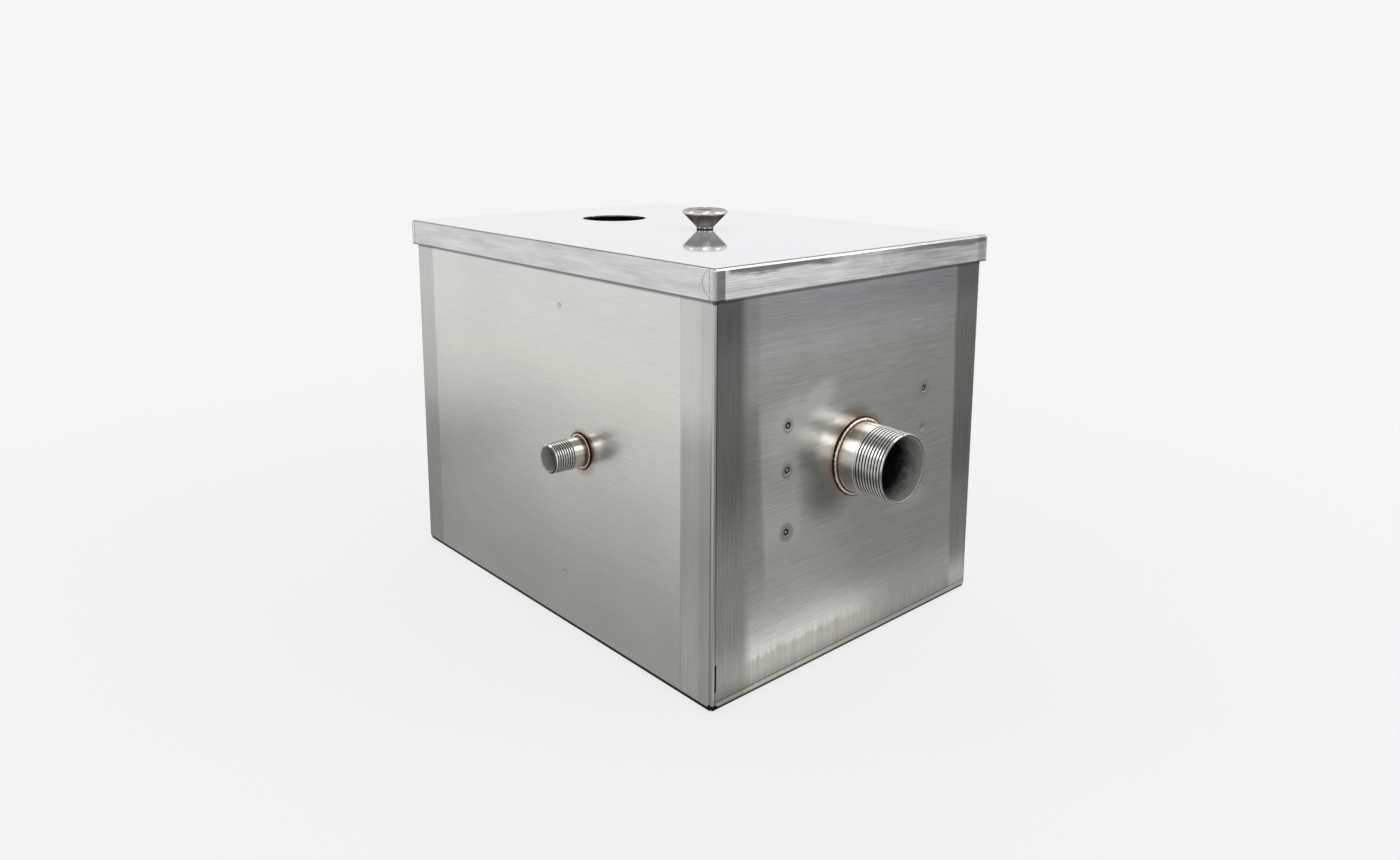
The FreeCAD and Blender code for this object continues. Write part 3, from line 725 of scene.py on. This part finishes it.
lidPaint = dict(
    mirror=(0.86, 0.855, 0.885),
    haze=0.34,
    flange=(0.76, 0.755, 0.765),
    top=(274.95, 275.12),
    endFace=(182.2, 182.8),
    streak=((0.016, 0.016, 1.3), 3.0, 0.6),
    smear=((0.022, 0.022, 0.17), 3.0, 0.6),
    cutEdge=(1.0, (-0.75, 256.9, 256.3)),
    bend=(0.35, 273.9, 274.5),
    flangeRough=0.26, smearRough=0.10, topRough=0.05,
    bump=(0.00005, 0.6),
)
endFlange = dict(
    tone=(1.20, (-0.22, -70.0, 60.0)), streakShare=1.1, smearShare=0.8,
    line=(268.8, 271.0), lineTop=(0.72, 273.7, 273.2), lineRagged=(5.0, 9.0),
    lineShare=(0.35, (0.65, -20.0, -48.0), (0.5, 10.0, 70.0)), lineStart=(-127.5, -122.0),
    patchY=(0.70, -134.6, -127.8, 0.35), patchZ=(273.9, 273.1),
    corner=(0.2, -134.6, -135.2),
    step=(0.10, 12.4, 13.6),
    weld=(0.25, 124.5, 133.0, 0.8),
    low=(0.10, 256.7, 259.5, 0.8),
)
sideFlange = dict(
    tone=0.86, smearShare=0.60, streakShare=0.26, ragged=2.0,
    lapPlace=172.6, lapMiddle=266.5, lapHalf=8.7, lapBow=6.4, lapRagged=(3.4, 3.0), lap=(0.36, 0.7, 0.2),
    corner=179.0, cornerLine=(0.40, 0.6, 0.15),
    piece=(0.12, -178.4, -179.2), pieceRim=178.3, rimLine=(0.45, 0.8, 0.25),
)


def endFlangeTone(y, z, streak, smear):
    # a painted reflection that lightens it toward the near corner, streaks, a dark uneven line under the
    # bend, the ground patch by the near corner, the step past the middle and the weld by the far corner
    fine, coarse = endFlange["lineRagged"]
    line = (z + (streak - 0.5) * fine + (smear - 0.5) * coarse).smooth(*endFlange["line"])
    line *= z.rise(*endFlange["lineTop"])
    line = line * y.smooth(*endFlange["lineStart"]) * y.steps(*endFlange["lineShare"])
    patch = y.band(*endFlange["patchY"]) * z.smooth(*endFlange["patchZ"])
    tone = y.steps(*endFlange["tone"]) + z.band(*endFlange["low"])
    tone = tone + endFlange["streakShare"] * (streak - 0.5) + endFlange["smearShare"] * (smear - 0.5)
    tone = tone * (1.0 - y.rise(*endFlange["step"])) * (1.0 - line) * (1.0 - patch)
    return tone * (1.0 - y.rise(*endFlange["corner"])) * (1.0 - y.band(*endFlange["weld"]))


def sideFlangeTone(x, z, streak, smear, wander):
    # cloudy smears, the curved lap seam by the near corner and the weld piece at the far one
    tone = sideFlange["tone"] + sideFlange["smearShare"] * (smear - 0.5)
    tone += sideFlange["streakShare"] * (streak - 0.5)
    bow = (z - sideFlange["lapMiddle"]) / sideFlange["lapHalf"]
    coarse, fine = sideFlange["lapRagged"]
    lapX = x + wander * coarse + (streak - 0.5) * fine
    lap = abs(lapX - sideFlange["lapPlace"] - bow * bow * sideFlange["lapBow"])
    tone *= 1.0 - lap.rise(*sideFlange["lap"]) * (0.5 + smear)
    uneven = x + wander * sideFlange["ragged"]
    corner = abs(uneven - sideFlange["corner"])
    tone *= 1.0 - corner.rise(*sideFlange["cornerLine"])
    rim = abs(uneven + sideFlange["pieceRim"])
    return tone * (1.0 + uneven.rise(*sideFlange["piece"])) * (1.0 - rim.rise(*sideFlange["rimLine"]))


def lidSteel():
    graph, point = newSurface("mirrorLidSteel")
    x, y, z = graph.split(point)
    top = z.smooth(*lidPaint["top"])
    onEnd = abs(x).smooth(*lidPaint["endFace"])
    streak = graph.noise(point, *lidPaint["streak"])
    smear = graph.noise(point, *lidPaint["smear"])
    wander = graph.grain(point, 0.25) - 0.5
    flange = endFlangeTone(y, z, streak, smear) * onEnd
    flange += sideFlangeTone(x, z, streak, smear, wander) * (1.0 - onEnd)
    # painted shade along the cut edge at the bottom, and on the side flanges' bend at the top
    flange *= z.steps(*lidPaint["cutEdge"])
    flange *= 1.0 - z.rise(*lidPaint["bend"]) * (1.0 - onEnd)
    colour = graph.blend(top, graph.scaled(lidPaint["flange"], flange), lidPaint["mirror"])
    roughness = (lidPaint["flangeRough"] + lidPaint["smearRough"] * (smear - 0.5)) * (1.0 - top)
    roughness += lidPaint["topRough"] * top
    normal = graph.bump(streak * (1.0 - top), *lidPaint["bump"])
    return closeMaterial(graph, colour, roughness, 1.0 - lidPaint["haze"] * top, normal)


# colour, roughness, direction of the grinding, and the heights of painted shade lines across it, where the
# box meets the floor and under the lid's edge
plainSteels = {
    "innerSheetSteel": ((0.58, 0.575, 0.565), 0.3, (0.03, 0.03, 1.2), ()),
    "basketSteel": ((0.60, 0.60, 0.595), 0.28, (1.0, 0.05, 0.05), ()),
    "fastenerSteel": ((0.62, 0.62, 0.61), 0.25, (1.5, 1.5, 1.5), ()),
    "groundSeamSteel": (
        (0.50, 0.495, 0.48), 0.34, (1.5, 1.5, 0.05), ((0.95, -2.0, 4.4, 0.4), (0.8, 253.4, 256.7, 0.4)),
    ),
}


def plainSteel(name):
    colour, roughness, stretch, joints = plainSteels[name]
    graph, point = newSurface(name)
    lines = brushing(graph, point, stretch)
    cloud = graph.grain(point, 0.03) - 0.5
    tone = (1.0 + 0.12 * (lines - 0.5)) * (1.0 + 0.12 * cloud)
    # painted shade lines at the given heights
    for joint in joints:
        tone *= 1.0 - graph.split(point)[2].band(*joint)
    normal = graph.bump(lines, 0.00003, 0.5)
    return closeMaterial(graph, graph.scaled(colour, tone), roughness + 0.06 * cloud, 1.0, normal)


def dress(names, material):
    for name in names:
        mesh = nodes[name].data
        mesh.materials.clear()
        mesh.materials.append(material)


dress(["folded_shell", "draw_off_side_wall", "plain_side_wall"], boxSteel())
dress(["lid_sheet"], lidSteel())
dress(["baffle_plate", "outlet_hood", "inlet_end_ledge", "baffle_ledge"], plainSteel("innerSheetSteel"))
dress(["strainer_basket", "basket_rim", "basket_ears", "basket_handle"], plainSteel("basketSteel"))
dress(["knob_washer", "knob_screw"], plainSteel("fastenerSteel"))
groundSeams = ["draw_off_side_seam_weld", "plain_side_seam_weld", "lid_corner_welds"]
dress(groundSeams, plainSteel("groundSeamSteel"))
print("sheets dressed")


# Plug welds: row across and up, the two axes that it lies in, and how dark the burnt ring is

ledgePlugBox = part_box("ledge_plug_welds")
ledgePlugs = ((ledgePlugBox[0].z + ledgePlugBox[1].z) / 2.0 / mm, (-60.0, 0.0, 60.0))
plugLook = dict(
    bright=(0.62, 0.61, 0.60),
    dark=(0.035, 0.034, 0.038),
    ringStart=(0.75, 1.15), ringEnd=(2.75, 2.2),
    roughness=0.3,
    bump=(0.0002, 0.5),
)


def plugSteel(name, row, axes, darkness, faded=False):
    # a small round weld: dark burnt ring, bright middle
    graph, point = newSurface(name)
    parts = graph.split(point)
    across, up = parts[axes[0]], parts[axes[1]]
    away = nearestPlug(abs(across), up, row)
    speck = graph.grain(point, 0.8, 3.0, 0.6) - 0.5
    ring = (away + speck * 2.2).smooth(*plugLook["ringStart"])
    ring *= (away + speck * 1.6).smooth(*plugLook["ringEnd"])
    if faded:
        darkness *= fadedPlug(across, up)
    colour = graph.blend(ring * darkness, plugLook["bright"], plugLook["dark"])
    return closeMaterial(graph, colour, plugLook["roughness"], 1.0, graph.bump(speck, *plugLook["bump"]))


dress(["hood_plug_welds"], plugSteel("hoodPlugSteel", box["hoodPlugs"], (1, 2), 0.95, faded=True))
dress(["baffle_plug_welds"], plugSteel("bafflePlugSteel", box["bafflePlugs"], (0, 2), 0.15))
dress(["ledge_plug_welds"], plugSteel("ledgePlugSteel", ledgePlugs, (2, 1), 0.5))
print("plug welds dressed")


# Meshes

def linkMesh(name, vertices, faces, material, sharpAngle=30.0):
    mesh = bpy.data.meshes.new(name)
    mesh.from_pydata(vertices, [], faces)
    mesh.validate()
    mesh.materials.append(material)
    mesh.shade_smooth()
    mesh.set_sharp_from_angle(angle=math.radians(sharpAngle))
    piece = bpy.data.objects.new(name, mesh)
    scene.collection.objects.link(piece)
    return piece


def handOver(piece, body, node):
    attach(piece, body)
    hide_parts(node)


def lathe(profile, segments, closed=True):
    # profile: (height, radius) points, turned round Z; radius 0 at an open profile's ends makes a pole
    vertices, rings = [], []
    for height, radius in profile:
        if radius < 1e-9:
            rings.append([len(vertices)] * segments)
            vertices.append((0.0, 0.0, height))
            continue
        rings.append(list(range(len(vertices), len(vertices) + segments)))
        for index in range(segments):
            angle = 2.0 * math.pi * index / segments
            vertices.append((radius * math.cos(angle), radius * math.sin(angle), height))
    faces = []
    pairs = list(zip(rings, rings[1:]))
    if closed:
        pairs.append((rings[-1], rings[0]))
    for lower, upper in pairs:
        for index in range(segments):
            after = (index + 1) % segments
            corners = [lower[index], lower[after], upper[after], upper[index]]
            face = list(dict.fromkeys(corners))
            if len(face) > 2:
                faces.append(face)
    return vertices, faces


def newTree(name, inputs):
    # inputs are numbers, apart from the material that the tree sets at its end
    tree = bpy.data.node_groups.new(name, "GeometryNodeTree")
    tree.interface.new_socket(name="Geometry", in_out="INPUT", socket_type="NodeSocketGeometry")
    tree.interface.new_socket(name="Geometry", in_out="OUTPUT", socket_type="NodeSocketGeometry")
    for label in inputs:
        tree.interface.new_socket(name=label, in_out="INPUT", socket_type="NodeSocketFloat")
    tree.interface.new_socket(name="Material", in_out="INPUT", socket_type="NodeSocketMaterial")
    graph = Graph(tree)
    return tree, graph, graph.add("NodeGroupInput")


def closeTree(graph, geometry, given):
    geometry = graph.add("GeometryNodeRealizeInstances", None, {0: geometry})[0]
    inputs = {"Geometry": geometry, "Material": given["Material"]}
    geometry = graph.add("GeometryNodeSetMaterial", None, inputs)[0]
    graph.add("NodeGroupOutput", None, {0: geometry})


def shapedByTree(piece, tree, values, material, place):
    # the tree's result as a plain mesh, set in its place
    modifier = piece.modifiers.new(tree.name, "NODES")
    modifier.node_group = tree
    identifiers = {item.name: item.identifier for item in tree.interface.items_tree if item.in_out == "INPUT"}
    for label, value in values.items():
        modifier[identifiers[label]] = value
    modifier[identifiers["Material"]] = material
    graph = bpy.context.evaluated_depsgraph_get()
    mesh = bpy.data.meshes.new_from_object(piece.evaluated_get(graph))
    start = piece.data
    piece.modifiers.clear()
    piece.data = mesh
    bpy.data.meshes.remove(start)
    mesh.transform(place)
    mesh.shade_smooth()
    return mesh


def aroundPipe(graph, point, axis, centre, outward):
    # millimetres along the pipe from the wall, and from its middle line
    offset = list(graph.split(graph.vector("SUBTRACT", point, centre)))
    along = offset.pop(axis) * outward
    return along, diagonal(*offset)


# Threaded pipes

pipeTaper = 1.0 / 32.0
stepsPerTurn = 14
behindWall = 4.2
threadLengths = ["pitch", "depth", "reach", "runout", "endRadius", "pipe", "mouth"]
outletThread = dict(
    pipe=24.15, bore=21.65, reach=36.5,
    thread=22.5, pitch=2.309, depth=0.9, runout=2.3, grooveWidth=0.55,
    endRadius=23.52, mouth=22.75,
    segments=192,
    warm=6.5, burnt=1.5, boreDark=21.0,
)
drawOffThread = dict(
    pipe=10.65, bore=8.55, reach=26.4,
    thread=16.2, pitch=1.814, depth=0.7, runout=1.9, grooveWidth=0.60,
    endRadius=10.22, mouth=9.15,
    segments=128,
    warm=7.5, burnt=3.4, boreDark=30.0,
)
pipeLook = dict(
    steel=(0.70, 0.685, 0.66),
    ringShare=0.22, blotchShare=0.12,
    straw=(0.52, 0.37, 0.25), strawShare=0.55, strawRagged=5.0,
    burnt=(0.10, 0.06, 0.04), burntShare=0.85, burntRagged=1.6,
    groove=(0.025, 0.024, 0.023), grooveEdge=(0.97, 0.03, 0.40), lipShare=0.7,
    inside=(0.52, 0.515, 0.50), insideRagged=16.0, insideDull=0.45,
    roughness=0.15, insideRoughness=0.52, grooveRoughness=0.9,
    beadEnd=1.5,
    boreDarkest=0.03,
    bump=(0.000012, 1.0),
)
outletTurn = Matrix.Translation(Vector(box["outlet"]) * mm) @ Matrix.Rotation(math.radians(90.0), 4, "Y")
drawOffTurn = Matrix.Translation(Vector(box["drawOff"]) * mm) @ Matrix.Rotation(math.radians(90.0), 4, "X")


def pipeSteel(name, axis, centre, outward, sizes):
    # turned pipe: ring marks, thread grooves darkened by dirt and painted shade, straw to brown next to its
    # weld and an unpolished bore, darkened inside by painted shade
    graph, point = newSurface(name)
    along, radius = aroundPipe(graph, point, axis, centre, outward)
    stretch = [0.003, 0.003, 0.003]
    stretch[axis] = 1.9
    rings = graph.noise(point, stretch)
    blotch = graph.grain(point, 0.18, 3.0) - 0.5
    bore, beadEnd = sizes["bore"], pipeLook["beadEnd"]
    inside = radius.smooth(bore + 0.35, bore + 0.15)
    groove = graph.add("ShaderNodeAttribute", {"attribute_name": "groove"})["Fac"]
    tone = 1.0 + pipeLook["ringShare"] * (rings - 0.5) + pipeLook["blotchShare"] * blotch
    # dirt and painted shade in the thread grooves
    dark = groove.rise(*pipeLook["grooveEdge"])
    colour = graph.blend(dark, graph.scaled(pipeLook["steel"], tone), pipeLook["groove"])
    # thin dark line between the lip's two tones
    lip = along.smooth(sizes["reach"] - 0.12, sizes["reach"] - 0.04)
    lip *= radius.between(bore + 0.35, bore + 0.75, 0.12)
    colour = graph.blend(lip * pipeLook["lipShare"], colour, pipeLook["groove"])
    straw = along + blotch * pipeLook["strawRagged"]
    straw = straw.rise(pipeLook["strawShare"], sizes["warm"], beadEnd)
    colour = graph.blend(straw, colour, pipeLook["straw"])
    burnt = along + blotch * pipeLook["burntRagged"] - beadEnd
    burnt = burnt.rise(pipeLook["burntShare"], sizes["burnt"], sizes["burnt"] * 0.4)
    colour = graph.blend(burnt, colour, pipeLook["burnt"])
    # the bore is dull, and darkened by painted shade away from its mouth
    depth = sizes["reach"] - along + blotch * pipeLook["insideRagged"]
    boreShadeTone = depth.rise(1.0 - pipeLook["boreDarkest"], sizes["boreDark"], sizes["boreDark"] * 0.1)
    boreShadeTone = pipeLook["boreDarkest"] + boreShadeTone
    colour = graph.blend(inside, colour, graph.scaled(pipeLook["inside"], boreShadeTone))
    # the grooves, darkened by dirt and painted shade, are dull, or they would mirror the lamps as brightly as
    # the crests
    roughness = pipeLook["roughness"] + 0.06 * blotch
    roughness = roughness * (1.0 - inside) * (1.0 - dark)
    roughness = roughness + pipeLook["insideRoughness"] * inside + pipeLook["grooveRoughness"] * dark
    crest = 1.0 - groove.smooth(0.0, 0.2)
    normal = graph.bump(rings * (1.0 - inside) * crest, *pipeLook["bump"])
    return closeMaterial(graph, colour, roughness, 1.0 - pipeLook["insideDull"] * inside, normal)


def threadTree():
    # cuts a tapered pipe thread into a tube that stands on its local Z axis
    tree, graph, given = newTree("cutThread", threadLengths + ["start", "boreLimit", "grooveWidth"])
    place = graph.add("GeometryNodeInputPosition")[0]
    x, y, z = graph.split(place)
    radius = diagonal(x, y)
    turn = y.maths("ARCTAN2", x) / (2.0 * math.pi)
    wave = abs((z / given["pitch"] - turn).maths("FRACT") * 2.0 - 1.0)
    fromEnd = given["reach"] - z
    crest = (given["endRadius"] + fromEnd * pipeTaper).maths("MINIMUM", given["pipe"])
    start = (z - given["start"]) / given["runout"]
    groove = wave.smooth(given["grooveWidth"], 0.10) * start.smooth(0.0, 1.0)
    mouth = given["mouth"] + fromEnd
    turned = (crest - given["depth"] * groove).maths("MINIMUM", mouth)
    factor = turned / radius
    outside = radius.maths("GREATER_THAN", given["boreLimit"]) * z.maths("GREATER_THAN", given["start"])
    settings = {"data_type": "FLOAT", "domain": "POINT"}
    inputs = {"Geometry": given["Geometry"], "Name": "groove", "Value": groove * outside}
    geometry = graph.add("GeometryNodeStoreNamedAttribute", settings, inputs)[0]
    moved = graph.join(x * factor, y * factor, z)
    inputs = {"Geometry": geometry, "Selection": outside, "Position": moved}
    geometry = graph.add("GeometryNodeSetPosition", None, inputs)[0]
    closeTree(graph, geometry, given)
    return tree


def buildNipple(name, node, sizes, place, material, tree):
    start = sizes["reach"] - sizes["thread"]
    count = int(sizes["thread"] / sizes["pitch"] * stepsPerTurn)
    rim = (sizes["mouth"] - sizes["bore"]) * 0.25
    profile = [(-behindWall, sizes["bore"]), (start, sizes["bore"]), (sizes["reach"] - rim, sizes["bore"])]
    profile.append((sizes["reach"], sizes["bore"] + rim))
    for index in range(count, 0, -1):
        profile.append((start + sizes["thread"] * index / count, sizes["pipe"]))
    profile += [(start, sizes["pipe"]), (0.0, sizes["pipe"]), (-behindWall, sizes["pipe"])]
    vertices, faces = lathe([(height * mm, radius * mm) for height, radius in profile], sizes["segments"])
    piece = linkMesh(name, vertices, faces, material)
    values = {label: sizes[label] * mm for label in threadLengths}
    values.update(start=start * mm, grooveWidth=sizes["grooveWidth"])
    values["boreLimit"] = (sizes["bore"] + rim * 1.5) * mm
    mesh = shapedByTree(piece, tree, values, material, place)
    mesh.set_sharp_from_angle(angle=math.radians(38.0))
    handOver(piece, "tank", node)


threadCutter = threadTree()
outletPipe = pipeSteel("outletPipeSteel", 0, box["outlet"], 1.0, outletThread)
drawOffPipe = pipeSteel("drawOffPipeSteel", 1, box["drawOff"], -1.0, drawOffThread)
buildNipple("threadedOutlet", "outlet_nipple", outletThread, outletTurn, outletPipe, threadCutter)
buildNipple("threadedDrawOff", "draw_off_nipple", drawOffThread, drawOffTurn, drawOffPipe, threadCutter)
print("threads cut")


# Weld beads round the pipes

outletBead = dict(
    ring=25.15, bead=1.32, rise=0.45,
    ripples=46.0, ripple=0.16, wander=0.42, seed=3.0,
    middleLine=0.75, lightShare=0.72,
)
drawOffBead = dict(
    ring=11.35, bead=0.85, rise=0.40,
    ripples=24.0, ripple=0.12, wander=0.34, seed=8.0,
    middleLine=0.15, lightShare=0.55,
)
beadLook = dict(
    cream=(0.97, 0.89, 0.80),
    tan=(0.83, 0.73, 0.64),
    brown=(0.26, 0.15, 0.095),
    scorched=(0.045, 0.028, 0.022),
    foot=(0.85, 0.45),
)
beadLengths = ["ring", "bead", "rise", "ripple", "wander"]
ringSteps, sectionSteps = 540, 18


def beadSteel(name, axis, centre, outward, sizes):
    # cream bead with a brown line along its middle, dark where it meets the wall and the pipe
    graph, point = newSurface(name)
    along, radius = aroundPipe(graph, point, axis, centre, outward)
    blotch = graph.grain(point, 0.35, 3.0)
    across = (radius - sizes["ring"]) / sizes["bead"]
    colour = graph.blend(blotch, beadLook["cream"], beadLook["tan"])
    middle = abs(across + 0.10 + (blotch - 0.5) * 0.9).smooth(0.27, 0.05)
    colour = graph.blend(middle * sizes["middleLine"], colour, beadLook["brown"])
    foot = (along + (blotch - 0.5) * 0.6).smooth(*beadLook["foot"])
    side = (abs(across) + (blotch - 0.5) * 0.3).smooth(sizes["lightShare"], sizes["lightShare"] + 0.22)
    scorched = foot.maths("MAXIMUM", side)
    colour = graph.blend(scorched, colour, beadLook["scorched"])
    return closeMaterial(graph, colour, 0.2 + 0.25 * scorched, 1.0 - 0.5 * scorched)


def beadTree():
    # ring of overlapping weld ripples round the local Z axis
    tree, graph, given = newTree("weldRing", beadLengths + ["ripples", "seed"])
    ringSize = {"Resolution": ringSteps, "Radius": given["ring"]}
    sectionSize = {"Resolution": sectionSteps, "Radius": given["bead"]}
    ring = graph.add("GeometryNodeCurvePrimitiveCircle", None, ringSize)
    section = graph.add("GeometryNodeCurvePrimitiveCircle", None, sectionSize)
    tube = graph.add("GeometryNodeCurveToMesh", None, {"Curve": ring[0], "Profile Curve": section[0]})
    place = graph.add("GeometryNodeInputPosition")[0]
    x, y, z = graph.split(place)
    radius = diagonal(x, y)
    turn = y.maths("ARCTAN2", x) / (2.0 * math.pi)
    across = (radius - given["ring"]) / given["bead"]
    phase = (turn * given["ripples"] - across * across * 0.55).maths("FRACT")
    ripple = phase.smooth(0.0, 0.3) * (1.0 - phase)
    aroundRing = graph.join(x / radius * 3.0, y / radius * 3.0, given["seed"])
    uneven = graph.noise(aroundRing, (1.0, 1.0, 1.0), 3.0) - 0.5
    lumps = graph.noise(aroundRing, (5.0, 5.0, 1.0)) - 0.5
    swell = ripple * given["ripple"] + (uneven * 1.6 + lumps * 0.9) * given["wander"]
    offset = graph.scaled(graph.add("GeometryNodeInputNormal")[0], swell)
    offset = graph.vector("ADD", offset, graph.join(0.0, 0.0, given["rise"]))
    geometry = graph.add("GeometryNodeSetPosition", None, {"Geometry": tube[0], "Offset": offset})[0]
    closeTree(graph, geometry, given)
    return tree


def buildBead(name, node, sizes, place, material, tree):
    piece = linkMesh(name, [(0.0, 0.0, 0.0)], [], material)
    values = {label: sizes[label] * mm for label in beadLengths}
    values.update(ripples=sizes["ripples"], seed=sizes["seed"])
    shapedByTree(piece, tree, values, material, place)
    handOver(piece, "tank", node)


weldRing = beadTree()
outletBeadSteel = beadSteel("outletBeadSteel", 0, box["outlet"], 1.0, outletBead)
drawOffBeadSteel = beadSteel("drawOffBeadSteel", 1, box["drawOff"], -1.0, drawOffBead)
buildBead("outletBead", "outlet_weld", outletBead, outletTurn, outletBeadSteel, weldRing)
buildBead("drawOffBead", "draw_off_weld", drawOffBead, drawOffTurn, drawOffBeadSteel, weldRing)
print("weld beads laid")


# Knob

knob = dict(
    place=(25.0, 0.0, 275.2),
    height=15.6,
    rim=17.0,
    neck=6.3,
    straight=0.8,
    flare=44.0,
    widest=12.7,
    crown=12.9,
    dish=12.3, dishDepth=1.9, dishDrop=0.22, dishSteps=12,
    rimTurn=(-10.0, 100.0), rimSteps=16,
    flareSteps=24,
    lowRim=(0.4, 0.35),
    footRound=0.25,
    screwRadius=2.5, screwDepth=10.0,
    segments=128,
)
knobLook = dict(
    polish=((0.86, 0.84, 0.80), (0.90, 0.88, 0.85)),
    flank=(0.46, 0.445, 0.415), flankShade=(0.55, 3.5, 9.5),
    ring=(6.6, 8.2, 0.4), ringColour=(0.10, 0.095, 0.09),
    foot=(1.15, 0.85), footColour=(0.02, 0.02, 0.02),
    tint=(0.25, 0.24, 0.22),
)


def knobSteel():
    # polished rim and dish, and a hollow flank painted darker as shade
    graph, point = newSurface("polishedKnobSteel")
    x, y, z = graph.split(graph.vector("SUBTRACT", point, knob["place"]))
    radius = diagonal(x, y)
    haze = graph.grain(point, 0.2)
    turned = graph.noise(point, (0.05, 0.05, 1.6), 3.0)
    dish = radius.smooth(knob["dish"] + 0.2, knob["dish"] - 0.2) * z.smooth(12.6, 13.0)
    edge = knob["widest"] - 0.9
    flank = z.smooth(edge + 0.15, edge - 0.15) * (1.0 - dish)
    flankTone = 1.0 + 0.3 * (turned - 0.5) - z.rise(*knobLook["flankShade"])
    colour = graph.blend(haze, *knobLook["polish"])
    colour = graph.blend(flank, colour, graph.scaled(knobLook["flank"], flankTone))
    # painted reflection: a dark ring in the dish
    ring = (radius + (haze - 0.5) * 2.0).between(*knobLook["ring"]) * dish
    colour = graph.blend(ring * 0.75, colour, knobLook["ringColour"])
    # painted shade: near black at the bottom of the knob's foot
    colour = graph.blend(z.smooth(*knobLook["foot"]), colour, knobLook["footColour"])
    roughness = 0.045 + 0.03 * haze + 0.08 * flank
    metallic = 1.0 - 0.26 * (1.0 - flank) * (1.0 - ring)
    return closeMaterial(graph, colour, roughness, metallic, None, {"Specular Tint": knobLook["tint"]})


def knobProfile():
    # up the screw hole from its middle, across the foot, up the hollow flare, round the rim, into the dish
    height, rim, widest, crown = knob["height"], knob["rim"], knob["widest"], knob["crown"]
    points = []
    for step in range(knob["dishSteps"] + 1):
        share = step / knob["dishSteps"]
        drop = knob["dishDepth"] * (1.0 - share ** 2)
        points.append((height - knob["dishDrop"] - drop, knob["dish"] * share))
    first, sweep = knob["rimTurn"]
    for step in range(knob["rimSteps"] + 1):
        angle = math.radians(first + sweep * step / knob["rimSteps"])
        points.append((widest + (height - widest) * math.cos(angle), crown + (rim - crown) * math.sin(angle)))
    # one arc from the rim's lower edge to the neck, where it runs upright
    flare = math.radians(knob["flare"])
    below, inwards = knob["lowRim"]
    rise = widest - below - knob["straight"]
    spread = rim - inwards - knob["neck"]
    hollow = (math.tan(flare) * rise - spread) / (math.tan(flare) * math.sin(flare) - (1.0 - math.cos(flare)))
    for step in range(knob["flareSteps"] + 1):
        angle = flare * (1.0 - step / knob["flareSteps"])
        points.append((
            knob["straight"] + hollow * math.sin(angle),
            knob["neck"] + hollow * (1.0 - math.cos(angle)),
        ))
    points += [(knob["footRound"], knob["neck"]), (0.0, knob["neck"] - knob["footRound"])]
    points += [(0.0, knob["screwRadius"]), (knob["screwDepth"], knob["screwRadius"])]
    points.append((knob["screwDepth"], 0.0))
    points.reverse()
    return points


def buildKnob(material):
    profile = [(height * mm, radius * mm) for height, radius in knobProfile()]
    vertices, faces = lathe(profile, knob["segments"], closed=False)
    piece = linkMesh("turnedKnob", vertices, faces, material, 40.0)
    piece.data.transform(Matrix.Translation(Vector(knob["place"]) * mm))
    handOver(piece, "lid", "lid_knob")


buildKnob(knobSteel())
print("knob turned")
